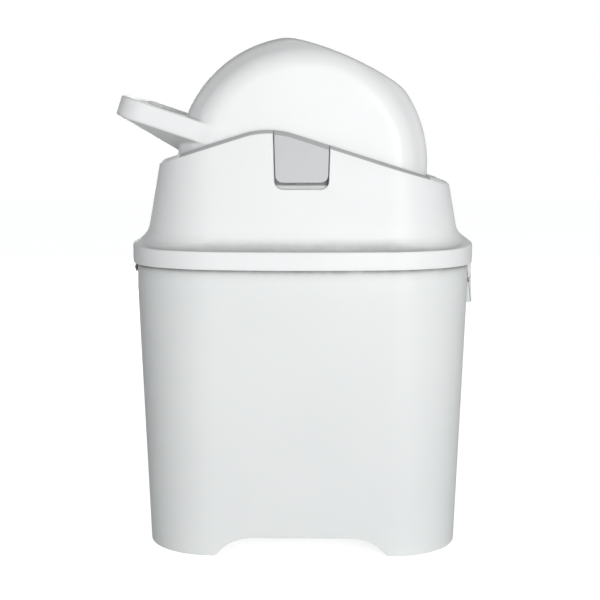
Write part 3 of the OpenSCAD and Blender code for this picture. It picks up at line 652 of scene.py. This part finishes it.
def roof_ring(drop, inset, level=False):
    """Ring at the roof's edge: drop below the roof, and in from where the wall ends."""
    points = []
    for centre, out in STATIONS:
        top = roof((centre + (BAND_RADIUS - ROOF_EDGE_IN) * out).x)
        spot = centre + (BAND_RADIUS - wall_in(top - ROOF_BEVEL) - inset) * out
        points.append((spot.x, spot.y, (roof(spot.x) if level else top) - drop))
    return points


def opening_ring(grow, drop):
    """Ring round the drum's opening, grown by grow, drop below the roof."""
    points = []
    for centre, out in STATIONS:
        x = centre.x / CORNER_X * OPENING_X + (OPENING_RADIUS + grow) * out.x
        y = centre.y / CORNER_Y * OPENING_Y + (OPENING_RADIUS + grow) * out.y
        points.append((x, y, roof(x) - drop))
    return points


def between(first, second, share):
    """Ring between two rings on the roof, at its height."""
    points = []
    for start, end in zip(first, second):
        x, y = (start[axis] + (end[axis] - start[axis]) * share for axis in (0, 1))
        points.append((x, y, roof(x) - (roof(start[0]) - start[2]) * (1 - share)))
    return points


# The skin starts at the band's lower edge, goes up outside and over the roof, and comes back down inside
rings = [hem(ring(BAND_RADIUS - inset, BAND_Z + rise), 1) for inset, rise in BAND_PROFILE]
front, side = flare(**FRONT_FLARE), flare(**SIDE_FLARE)
for k, pair in enumerate(zip(front, side)):
    rings.append(flare_ring(*pair, 1 - k / (len(front) - 1)))
low_ring, top_ring = rings[-1], roof_ring(ROOF_BEVEL + BEVEL_ROUND, 0)
for k in range(1, WALL_STEPS):
    rings.append([tuple(low + (high - low) * k / WALL_STEPS for low, high in zip(*spots))
                  for spots in zip(low_ring, top_ring)])
shade_row = len(rings) + 1
rings += [top_ring, roof_ring(ROOF_BEVEL - BEVEL_ROUND, BEVEL_ROUND),
          roof_ring(BEVEL_ROUND, ROOF_BEVEL - BEVEL_ROUND)]
edge_ring = roof_ring(0, ROOF_BEVEL + BEVEL_ROUND, level=True)
mouth_edge = opening_ring(MOUTH_EDGE, 0)
rings += [edge_ring] + [between(edge_ring, mouth_edge, share) for share in (0.25, 0.5, 0.75)]
for inset, drop in rounding(MOUTH_EDGE, (90, 60, 30, 0)):
    rings.append(opening_ring(inset, drop))
rings.append(opening_ring(0, ROOF_THICKNESS))
rings.append(roof_ring(ROOF_THICKNESS + CEILING_DROP, LID_WALL + CEILING_IN))
rings += [ring(BAND_RADIUS - inset, z) for inset, z in FLARE_INSIDE]
housing = skinned("lid_housing_moulding", rings, closed=True)

lid_white = plastic("lid_white", LID_WHITE, LID_FLOW, LID_EDGE, grain_scale=1100, grain_depth=0.00008,
                    smooth=0.34, matt=0.46, shade_reach=0.016, shade_starts=0.98, shade_full=0.8)
# Painted shade darkens the flare where it lies nearly level, in front and at the back, and the gaps round
# the drum and the caps, such as the slot under each cap. The steep ends, the ledges and the roof get little
# of it
tree = lid_white.node_tree
place, height = put(tree, "TexCoord"), put(tree, "SeparateXYZ")
facing = put(tree, "VectorMath", operation="ABSOLUTE")
level = put(tree, "VectorMath", {1: SLOPE_SHADE}, operation="DOT_PRODUCT")
level_shade = put(tree, "MapRange", {"From Min": LEVEL_FROM, "From Max": LEVEL_FULL})
flare_shade = put(tree, "MapRange", {"From Min": FLARE_UNSHADED_Z, "From Max": FLARE_SHADED_Z,
                                    "To Min": FLARE_LEAST})
gap_shade = put(tree, "MapRange", {"From Min": LEDGE_TOP / 1000, "From Max": (LEDGE_TOP + GAP_FADE) / 1000,
                                  "To Min": GAP_LEAST, "To Max": GAP_MOST})
wire(tree,
     (place, "Normal", facing, 0), (facing, 0, level, 0), (level, "Value", level_shade, "Value"),
     (place, "Object", height, 0), (height, "Z", flare_shade, "Value"),
     (flare_shade, "Result", level_shade, "To Max"), (height, "Z", gap_shade, "Value"),
     (gap_shade, "Result", level_shade, "To Min"), (level_shade, "Result", tree.nodes["corner_shade"], "Amount"))
# The roof's bevelled edge gets a grey material, painted as shade in the gap against the drum
roof_edge_shade = plastic("roof_edge_shade", ROOF_SHADE_GREY, ROOF_SHADE_FLOW, ROOF_SHADE_EDGE, grain_scale=1500, grain_depth=0.00006,
                   smooth=0.5, matt=0.65, edge_width=0.0004, edge_amount=0.3, shade_amount=0.3)
housing.data.materials.append(lid_white)
housing.data.materials.append(roof_edge_shade)
for row in (shade_row, shade_row + 1):
    for i, (x, y, z) in enumerate(top_ring):
        if abs(x) < ROOF_SHADE_HALF and abs(y) > PAD_Y:
            housing.data.polygons[row * len(STATIONS) + i].material_index = 1


def wall_y(z, depth=0.0):
    """Y of the front wall at height z, and depth into it."""
    return -LID_HALF_DEPTH + wall_in(z) + depth


def cap_side(z, grow):
    """Half the width of a bearing cap at height z. It narrows downward, to slide into its notch."""
    return CAP_HALF + grow - CAP_TAPER * (roof(CAP_HALF) - z)


def plate_outline(low, grow, top_drop, steps=24):
    """Outline of a cap seen from the front: rounded lower corners, and a top that follows the roof."""
    corner, base = CAP_CORNER + grow, low - grow
    half = cap_side(base + corner, grow)
    outline = arc(-half + corner, base + corner, corner, 8, 180, 90)
    outline += arc(half - corner, base + corner, corner, 8, 270, 90)
    for k in range(steps + 1):
        share = 1 - 2 * k / steps
        x = share * cap_side(roof(share * CAP_HALF) - top_drop, grow)
        outline.append((x, roof(x) - top_drop))
    return outline


def wall_plate(name, layers):
    """A plate in the front wall, skinned through (outline, depth) layers. depth may depend on height."""
    rings = []
    for outline, depth in layers:
        rings.append([(x, wall_y(z, depth(z) if callable(depth) else depth), z)
                      for x, z in reversed(outline)])
    return skinned(name, rings)


def ledge_outline(shrink):
    """Outline of the ledge below a cap: the notch's lower corners, cut off level above."""
    corner, base = CAP_CORNER - shrink, LEDGE_LOW + shrink
    middle = cap_side(base + corner, -shrink) - corner
    right = [spot for spot in arc(middle, base + corner, corner, 16, 270, 90) if spot[1] < LEDGE_TOP]
    right.append((middle + sqrt(corner ** 2 - (base + corner - LEDGE_TOP) ** 2), LEDGE_TOP))
    return [(-x, z) for x, z in reversed(right)] + right


def ledge_depth(z):
    """Depth of the ledge's face, which runs in under the cap for a thumb."""
    share = (z - LEDGE_LOW) / (LEDGE_TOP - LEDGE_LOW)
    return LEDGE_LOW_DEPTH + share * (LEDGE_TOP_DEPTH - LEDGE_LOW_DEPTH)


def on_side(made, side):
    """A part of the front, left there on side 1 and mirrored to the back on side -1."""
    if side < 0:
        made.data.transform(Matrix.Scale(-1, 4, (0, 1, 0)))
        made.data.flip_normals()
    return made


# Each notch has a ledge under the cap, and the pad of wall behind it is slotted for a thumb
ledges, pads = [], []
for side in (1, -1):
    notch = plate_outline(LEDGE_LOW, SEAT_GAP, ABOVE_ROOF)
    mouth = plate_outline(LEDGE_LOW, SEAT_GAP + SEAT_EDGE, ABOVE_ROOF)
    for name, layers in (("seat_edge", [(mouth, OUTSIDE), (mouth, 0.0), (notch, SEAT_EDGE)]),
                         ("seat", [(notch, OUTSIDE), (notch, SEAT_DEPTH)])):
        cut(housing, on_side(wall_plate(name, layers), side))
    ledge = wall_plate("ledge", [(ledge_outline(LEDGE_EDGE), ledge_depth),
                                 (ledge_outline(0), lambda z: ledge_depth(z) + LEDGE_EDGE),
                                 (ledge_outline(0), LEDGE_BACK)])
    ledges.append(on_side(ledge, side))

    rings = []
    for k in range(PAD_STEPS + 1):
        x = -PAD_HALF + 2 * PAD_HALF * k / PAD_STEPS
        top = roof(x) - PAD_DROP
        rings.append([(x, -PAD_Y, PAD_LOW), (x, -PAD_Y, top), (x, wall_y(top, PAD_DEPTH), top),
                      (x, wall_y(PAD_LOW, PAD_DEPTH), PAD_LOW)])
    pad = skinned("pad", rings)
    cut(pad, bar("thumb_slot", oblong(-SLOT_HALF, SLOT_HALF, SLOT_LOW, SLOT_TOP),
                 wall_y(LEDGE_TOP), wall_y(LEDGE_TOP, SLOT_DEPTH), 0))
    pads.append(on_side(pad, side))

# The hooks are open below, so that they snap over the pin from above
hooks = []
for low in (HOOK_FROM, -HOOK_FROM - HOOK_WIDTH):
    outline = arc(HINGE_X, HINGE_Z, **HOOK_OUTSIDE)
    outline += [(HOOK_LEFT, HOOK_TIP_LOW), (HOOK_LEFT + HOOK_TIP_WIDE, HOOK_TIP_LOW), HOOK_LEAD_IN]
    outline += arc(HINGE_X, HINGE_Z, **HOOK_BORE)
    hooks.append(bar("hook", outline, low, low + HOOK_WIDTH, HOOK_EDGE))
    outline = [(HOOK_LEFT + x, HINGE_Z + z) for x, z in HOOK_ROOT_LOW]
    outline += [(HOOK_LEFT + HOOK_ROOT_WIDE, BAND_Z + SUNK), (HOOK_LEFT, BAND_Z + SUNK)]
    hooks.append(bar("hook_root", outline, low, low + HOOK_WIDTH, HOOK_EDGE))

# The tongue ends in two knuckles that the latch pin runs through
outline = [(TONGUE_IN + TONGUE_LEAN, KNUCKLE_TOP), (TONGUE_OUT, KNUCKLE_TOP), (TONGUE_OUT, TONGUE_ROOT),
           (TONGUE_IN, TONGUE_ROOT), (TONGUE_IN, TONGUE_LEAN_FROM)]
tongue = [bar("tongue", outline, -LATCH_HALF, LATCH_HALF, 0.5)]
for low in (-LATCH_HALF, LATCH_HALF - KNUCKLE_WIDTH):
    outline = arc(LATCH_X, LATCH_Z, KNUCKLE_RADIUS, 24, 180, 180)
    outline += [(LATCH_X + across, LATCH_Z + KNUCKLE_RISE) for across in (KNUCKLE_RADIUS, -KNUCKLE_RADIUS)]
    tongue.append(bar("knuckle", outline, low, low + KNUCKLE_WIDTH, 0.25))
for part in tongue:
    swept_back(part, LATCH_HALF)
for part in hooks:
    swept_back(part, HOOK_FROM + HOOK_WIDTH)
housing = joined("lid_housing_moulding", housing, *ledges, *pads, *hooks, *tongue)
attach(housing, "lid")
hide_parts("lid_housing")

# ---- Lid pan and its screws ----
# A white moulding that closes the lid from below and forms the trough under the drum, with a window for
# the nappies to drop through. Four plated screws hold it up against bosses in the housing.
PAN_WHITE, PAN_FLOW = (0.88, 0.885, 0.885, 1), (0.85, 0.856, 0.856, 1)
SCREW_ACROSS, SCREW_ALONG = 900.0, 120.0
pan_white = plastic("pan_white", PAN_WHITE, PAN_FLOW, LID_EDGE, grain_scale=700, grain_depth=0.00012,
                    smooth=0.4, matt=0.55, shade_amount=0.5)
finish(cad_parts["lid_pan"], pan_white)
screw_steel = plated_steel("screw_steel", (SCREW_ACROSS, SCREW_ACROSS, SCREW_ALONG))
finish(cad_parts["pan_screws"], screw_steel)

# ---- Seals of the lid ----
# A strip of black foam rubber in the lid's rim that closes on the bucket, and a soft rubber lip along the
# trough that wipes the drum. Both are pushed into grooves, and their skin is matt and finely pitted.
RUBBER, RUBBER_BLOOM = (0.055, 0.056, 0.06, 1), (0.085, 0.085, 0.088, 1)
RUBBER_EDGE = (0.12, 0.12, 0.12, 1)
lip_rubber = plastic("lip_rubber", RUBBER, RUBBER_BLOOM, RUBBER_EDGE, grain_scale=1500, grain_depth=0.0002,
                     smooth=0.6, matt=0.8, edge_amount=0.3, shade_amount=0.2)
for node in ("lid_gasket", "trough_seal"):
    finish(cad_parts[node], lip_rubber)

# ---- Bearing caps ----
# Grey plates in ABS, each with a block behind it that holds one of the drum's axle stubs. A cap slides
# down into its notch and snaps in. Its face is bare and satin, and its top is bevelled along the roof.
DRUM_Z = 365.0
CAP_ROUND, CAP_BEVEL = 0.8, 4.3
CAP_LAYERS = (0.0, 0.06, 0.24, 0.5, CAP_ROUND, 1.6, 2.4, 3.4, CAP_BEVEL, CAP_DEPTH)
STUB_BLOCK_RADIUS, STUB_BLOCK_BACK, STUB_BLOCK_DROP = 17.0, -88.2, 4.5
CAP_GREY, CAP_FLOW, CAP_EDGE = (0.6, 0.61, 0.62, 1), (0.575, 0.586, 0.6, 1), (0.74, 0.745, 0.75, 1)
cap_grey = plastic("cap_grey", CAP_GREY, CAP_FLOW, CAP_EDGE, grain_scale=1300, grain_depth=0.00008,
                   smooth=0.3, matt=0.42, edge_width=0.0007)
for side, name, node in ((1, "front_cap_plate", "front_bearing_cap"),
                         (-1, "rear_cap_plate", "rear_bearing_cap")):
    layers = []
    for depth in CAP_LAYERS:
        round_off = CAP_ROUND - sqrt(max(CAP_ROUND ** 2 - max(CAP_ROUND - depth, 0) ** 2, 0))
        layers.append((plate_outline(CAP_LOW, -round_off, max(CAP_BEVEL - depth, 0.0)), depth))
    plate = wall_plate(name, layers)
    top = roof(STUB_BLOCK_RADIUS) - STUB_BLOCK_DROP
    outline = arc(0, DRUM_Z, STUB_BLOCK_RADIUS, 32, 180, 180)
    outline += [(STUB_BLOCK_RADIUS, top), (-STUB_BLOCK_RADIUS, top)]
    stub_block = wall_plate("stub_block", [(outline, CAP_DEPTH - SUNK),
                                           (outline, lambda z: STUB_BLOCK_BACK - wall_y(z))])
    cap = joined(name, plate, stub_block)
    finish(cap, cap_grey)
    # Its bevel carries on the roof edge's grey, painted as shade in the gap against the drum
    cap.data.materials.append(roof_edge_shade)
    for face in cap.data.polygons:
        x, y, z = face.center * 1000
        if roof(x) - z < CAP_BEVEL - 0.1 and face.normal.z > 0.3:
            face.material_index = 1
    on_side(cap, side)
    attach(cap, "lid")
    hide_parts(node)

# ---- Latch flap and its pin ----
# A white flap, moulded in the lid's plastic, that hangs from the tongue on a plated pin. It lies against
# the catch on the bucket, and is pulled up by its lower edge to open the lid.
KNUCKLE_GAP, CATCH_GAP = 0.3, 0.45
FLAP_TOP, FLAP_OUT = LATCH_Z - KNUCKLE_RADIUS - KNUCKLE_GAP, LATCH_X + KNUCKLE_RADIUS
FLAP_FLARE, FLAP_FLARE_FROM = 0.7, 6
catch_slope = (CATCH_OUT - CATCH_TOP_OUT) / (CATCH_TOP - CATCH_Z)
top_in = BUCKET_SIDE + CATCH_TOP_OUT + catch_slope * (CATCH_TOP - FLAP_TOP) + CATCH_GAP
flap = bar("flap", [(top_in, FLAP_TOP), (BUCKET_SIDE + CATCH_OUT + CATCH_GAP, CATCH_Z),
                    (FLAP_OUT + FLAP_FLARE, CATCH_Z), (FLAP_OUT, FLAP_TOP - FLAP_FLARE_FROM),
                    (FLAP_OUT, FLAP_TOP)],
           -LATCH_HALF, LATCH_HALF, 0.3)
swept_back(flap, LATCH_HALF)
barrel_half = LATCH_HALF - KNUCKLE_WIDTH - KNUCKLE_GAP
outline = arc(LATCH_X, LATCH_Z, KNUCKLE_RADIUS, 24, 0, 180)
outline += [(LATCH_X - SUNK, FLAP_TOP - SUNK), (FLAP_OUT, FLAP_TOP - SUNK)]
barrel = bar("flap_barrel", outline, -barrel_half, barrel_half, 0.2)
flap = joined("latch_flap_moulding", flap, barrel)
finish(flap, lid_white)
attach(flap, "latch")
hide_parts("latch_flap")
finish(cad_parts["latch_pin"], pin_steel)

# ---- Drum shells ----
# Two half shells in the lid's white plastic, screwed together at mid-depth, where a fine groove shows.
# They form a barrel with broad sloping shoulders, a shallow crown round each mouth of the chute, and a
# paddle handle with a keel under it and a dish in its top.
DRUM_RADIUS, DRUM_HALF, DRUM_ROUND = 117.5, 85.0, 5.0
SHOULDER_Y, FACE_RADIUS, SHOULDER_ROUND = 61.0, 98.5, 10.0
CHUTE_LEAN, BORE_RADIUS, BORE_EDGE = 23.5, 50.0, 1.2
CROWN_HEIGHT, CROWN_RADIUS, CROWN_EDGE = 107.5, 330.0, 3.0
STUB_RADIUS, STUB_LENGTH, STUB_EDGE = 11.0, 10.2, 0.5
HANDLE_RISE, HANDLE_REACH, HANDLE_HALF, HANDLE_CORNER = 18.5, 179.5, DRUM_HALF - 0.4, 24.0
HANDLE_TOP, HANDLE_THICK, HANDLE_EDGE, HANDLE_ROOT, ROOT_FILLET = 7.2, 18.6, 2.6, 60, 2.4
KEEL_REACH, KEEL_HALF, KEEL_DEEP, KEEL_CORNER, KEEL_EDGE = 112.0, 42.0, 27.0, 7, 1.6
KEEL_SCALE = 0.93
DISH_REACH, DISH_HALF_LENGTH, DISH_HALF_WIDTH, DISH_CORNER = 145.5, 24.0, 72.0, 12.0
DISH_DEEP, DISH_EDGE = 3.5, 1.8
GROOVE_HALF, GROOVE_DEEP, GROOVE_TILT = 0.5, 0.4, 0.9
GRID_LOW, GRID_HIGH, GRID_STEP = (-186, -88, -120), (121, 88, 121), 2.0


def blend_min(first, second, size):
    """Union of two distances, with a fillet of the size given."""
    share = np.clip(0.5 + 0.5 * (second - first) / size, 0, 1)
    return second + (first - second) * share - size * share * (1 - share)


def blend_max(first, second, size):
    """Intersection of two distances, with a rounded edge of the size given."""
    return -blend_min(-first, -second, size)


def rounded_box(x, y, half_x, half_y, corner):
    """Distance outside a flat rectangle with rounded corners."""
    past_x, past_y = np.abs(x) - half_x + corner, np.abs(y) - half_y + corner
    outside = np.hypot(np.maximum(past_x, 0), np.maximum(past_y, 0))
    return outside + np.minimum(np.maximum(past_x, past_y), 0) - corner


def barrel_distance(x, y, z):
    """Distance outside the barrel, and how far across its chute each point lies."""
    out, deep = np.hypot(x, z) - DRUM_RADIUS, np.abs(y) - SHOULDER_Y
    run, fall = DRUM_HALF - SHOULDER_Y, DRUM_RADIUS - FACE_RADIUS
    shoulder = (out * run + deep * fall) / hypot(run, fall)
    barrel = blend_max(blend_max(shoulder, deep - run, SHOULDER_ROUND), out, DRUM_ROUND)
    lean = radians(CHUTE_LEAN)
    across, along = x * cos(lean) - z * sin(lean), x * sin(lean) + z * cos(lean)
    crown = np.hypot(across, np.abs(along) + CROWN_RADIUS - CROWN_HEIGHT) - CROWN_RADIUS
    return blend_max(barrel, crown, CROWN_EDGE), across


def keel_height(reach, y):
    """Height of the handle's underside: a keel in the middle, with slopes to the tip and both sides."""
    drop = HANDLE_TOP - HANDLE_THICK + KEEL_DEEP
    beyond, beside = reach - KEEL_REACH, np.abs(y) - KEEL_HALF
    run, width = HANDLE_REACH - KEEL_REACH, HANDLE_HALF - KEEL_HALF
    corner_run, corner_width = run - KEEL_CORNER, width - KEEL_CORNER
    corner = hypot(corner_run, corner_width)
    low = np.maximum(drop / run * beyond, drop / width * beside)
    low = np.maximum(low, drop / corner * (beyond * corner_run + beside * corner_width) / corner)
    return np.maximum(low, 0) - KEEL_DEEP


def handle_distance(x, y, z):
    """Distance outside the paddle handle, which starts well inside the barrel."""
    rise = radians(HANDLE_RISE)
    reach, above = -x * cos(rise) + z * sin(rise), x * sin(rise) + z * cos(rise)
    outline = rounded_box(reach - HANDLE_REACH / 2, y, HANDLE_REACH / 2, HANDLE_HALF, HANDLE_CORNER)
    handle = blend_max(outline, above - HANDLE_TOP, HANDLE_EDGE)
    # The keel slopes gently, so a height below it is scaled down a little to be a distance
    handle = blend_max(handle, (keel_height(reach, y) - above) * KEEL_SCALE, KEEL_EDGE)
    dish = rounded_box(reach - DISH_REACH, y, DISH_HALF_LENGTH, DISH_HALF_WIDTH, DISH_CORNER)
    handle = blend_max(handle, -np.maximum(dish, HANDLE_TOP - DISH_DEEP - above), DISH_EDGE)
    return np.maximum(handle, HANDLE_ROOT - reach)


def drum_distance(x, y, z):
    """Distance outside the drum's skin, from a point given from the middle of the drum."""
    barrel, across = barrel_distance(x, y, z)
    skin = blend_min(barrel, handle_distance(x, y, z), ROOT_FILLET)
    return blend_max(skin, BORE_RADIUS - np.hypot(across, y), BORE_EDGE)


def carved(distance, low, high, step):
    """Points and quads of the surface where a distance is zero, one point in each cell it crosses."""
    axes = [np.arange(start, end + step, step) for start, end in zip(low, high)]
    field = distance(*np.meshgrid(*axes, indexing="ij"))
    inside = field < 0
    cells = np.array(field.shape) - 1
    ends = slice(0, -1), slice(1, None)
    # Each cell's point is the mean of the places where its twelve edges cross the surface
    total, count = np.zeros((*cells, 3)), np.zeros(cells)
    for axis in range(3):
        others = [other for other in range(3) if other != axis]
        for sides in ((0, 0), (0, 1), (1, 0), (1, 1)):
            first, second = [None] * 3, [None] * 3
            first[axis], second[axis] = ends
            for other, side in zip(others, sides):
                first[other] = second[other] = ends[side]
            start, end = field[tuple(first)], field[tuple(second)]
            crossed = (start < 0) != (end < 0)
            share = np.where(crossed, start / np.where(crossed, start - end, 1), 0)
            for other, side in zip(others, sides):
                total[..., other] += crossed * side
            total[..., axis] += share
            count += crossed
    active = count > 0
    index = np.full(cells, -1)
    index[active] = np.arange(active.sum())
    places = np.argwhere(active) + total[active] / count[active][:, None]
    points = places * step + np.array([values[0] for values in axes])
    # Each grid edge that crosses the surface gives a quad between the four cells round it
    quads = []
    for axis in range(3):
        others = [other for other in range(3) if other != axis]
        first, second = [slice(1, -1)] * 3, [slice(1, -1)] * 3
        first[axis], second[axis] = ends
        start, end = inside[tuple(first)], inside[tuple(second)]
        base = np.argwhere(start != end)
        leaves = start[tuple(base.T)]
        base[:, others] += 1
        corners = []
        for shift in ((-1, -1), (0, -1), (0, 0), (-1, 0)):
            cell = base.copy()
            cell[:, others] += shift
            corners.append(index[tuple(cell.T)])
        quad = np.stack(corners, 1)
        turned = leaves if axis == 1 else ~leaves
        quad[turned] = quad[turned][:, ::-1]
        quads.append(quad)
    return points, np.concatenate(quads)


def slope_of(distance, points, step=0.05):
    """Direction in which a distance grows at the points, with length 1 on a true distance."""
    return np.stack([(distance(*(points + shift).T) - distance(*(points - shift).T)) / (2 * step)
                     for shift in np.eye(3) * step], 1)


def drawn_on(distance, points, rounds=4):
    """The points moved onto the surface."""
    for _ in range(rounds):
        slope = slope_of(distance, points)
        steepness = np.maximum((slope ** 2).sum(1), 0.25)[:, None]
        points = points - distance(*points.T)[:, None] * slope / steepness
    return points


points, quads = carved(drum_distance, GRID_LOW, GRID_HIGH, GRID_STEP)
points = drawn_on(drum_distance, points)

drum_white = plastic("drum_white", LID_WHITE, LID_FLOW, LID_EDGE, grain_scale=1400, grain_depth=0.00006,
                     smooth=0.34, matt=0.46, shade_amount=0.6)
for side, name, node in ((-1, "drum_front_moulding", "drum_front_shell"),
                         (1, "drum_rear_moulding", "drum_rear_shell")):
    # One half of the skin, cut at mid-depth and again where the groove begins
    mesh = bpy.data.meshes.new(name)
    mesh.from_pydata((points / 1000).tolist(), [], quads.tolist())
    shape = bmesh.new()
    shape.from_mesh(mesh)
    for back, clear in ((GROOVE_HALF, False), (0.0, True)):
        bmesh.ops.bisect_plane(shape, geom=shape.verts[:] + shape.edges[:] + shape.faces[:],
                               plane_co=(0, side * back / 1000, 0), plane_no=(0, -side, 0),
                               clear_outer=clear, clear_inner=False, dist=1e-6)
    shape.to_mesh(mesh)
    shape.free()
    # Its edge is drawn in to form the groove, and its shading follows the true surface
    spots = np.empty(len(mesh.vertices) * 3)
    mesh.vertices.foreach_get("co", spots)
    spots = spots.reshape(-1, 3) * 1000
    facing = slope_of(drum_distance, spots)
    facing /= np.maximum(np.linalg.norm(facing, axis=1), 1e-6)[:, None]
    seam = np.abs(spots[:, 1]) < 1e-3
    spots[seam] -= GROOVE_DEEP * facing[seam]
    facing[seam] += [0, -side * GROOVE_TILT, 0]
    mesh.vertices.foreach_set("co", ((spots + [0, 0, DRUM_Z]) / 1000).ravel())
    mesh.update()
    shell = linked(name, mesh)
    stub_y = sorted((side * (DRUM_HALF - SUNK), side * (DRUM_HALF + STUB_LENGTH)))
    stub = bar("stub", arc(0, DRUM_Z, STUB_RADIUS, 48), *stub_y, STUB_EDGE)
    skin_points = len(mesh.vertices)
    shell = joined(name, shell, stub)
    shell.modifiers.clear()
    facing = np.concatenate([facing, np.zeros((len(shell.data.vertices) - skin_points, 3))])
    shell.data.normals_split_custom_set_from_vertices(facing.tolist())
    finish(shell, drum_white)
    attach(shell, "drum")
    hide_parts(node)

# ---- Drum screws ----
# Four plated steel screws that draw the two half shells together from behind. They have the same finish
# as the lid pan's screws.
finish(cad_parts["drum_screws"], screw_steel)

# ---- Chute and its mouth rings ----
# A smooth white tube in polypropylene that runs through the drum, with a ring snapped into each end to
# keep the piston in. Nappies and the piston slide along it and keep it smooth.
CHUTE_WHITE, CHUTE_FLOW = (0.88, 0.88, 0.87, 1), (0.845, 0.846, 0.835, 1)
chute_white = plastic("chute_white", CHUTE_WHITE, CHUTE_FLOW, LID_EDGE, grain_scale=500,
                      grain_depth=0.00005, smooth=0.32, matt=0.44, shade_amount=0.45)
for node in ("chute_tube", "mouth_ring_a", "mouth_ring_b"):
    finish(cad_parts[node], chute_white)

# ---- Piston ----
# A hollow white cylinder with a cap screwed on each end, a rubber seal under each cap and a steel weight
# inside. It drops through the chute when the drum flips, and pushes the nappy out.
PISTON_WHITE, PISTON_FLOW = (0.87, 0.875, 0.875, 1), (0.84, 0.846, 0.846, 1)
WEIGHT_ACROSS, WEIGHT_ALONG = 300.0, 80.0
piston_white = plastic("piston_white", PISTON_WHITE, PISTON_FLOW, LID_EDGE, grain_scale=800,
                       grain_depth=0.0001, smooth=0.35, matt=0.5, shade_amount=0.45)
for node in ("piston_body", "piston_cap_a", "piston_cap_b"):
    finish(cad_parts[node], piston_white)
for node in ("piston_seal_a", "piston_seal_b"):
    finish(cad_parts[node], lip_rubber)
weight_steel = plated_steel("weight_steel", (WEIGHT_ACROSS, WEIGHT_ACROSS, WEIGHT_ALONG))
finish(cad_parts["piston_weight"], weight_steel)
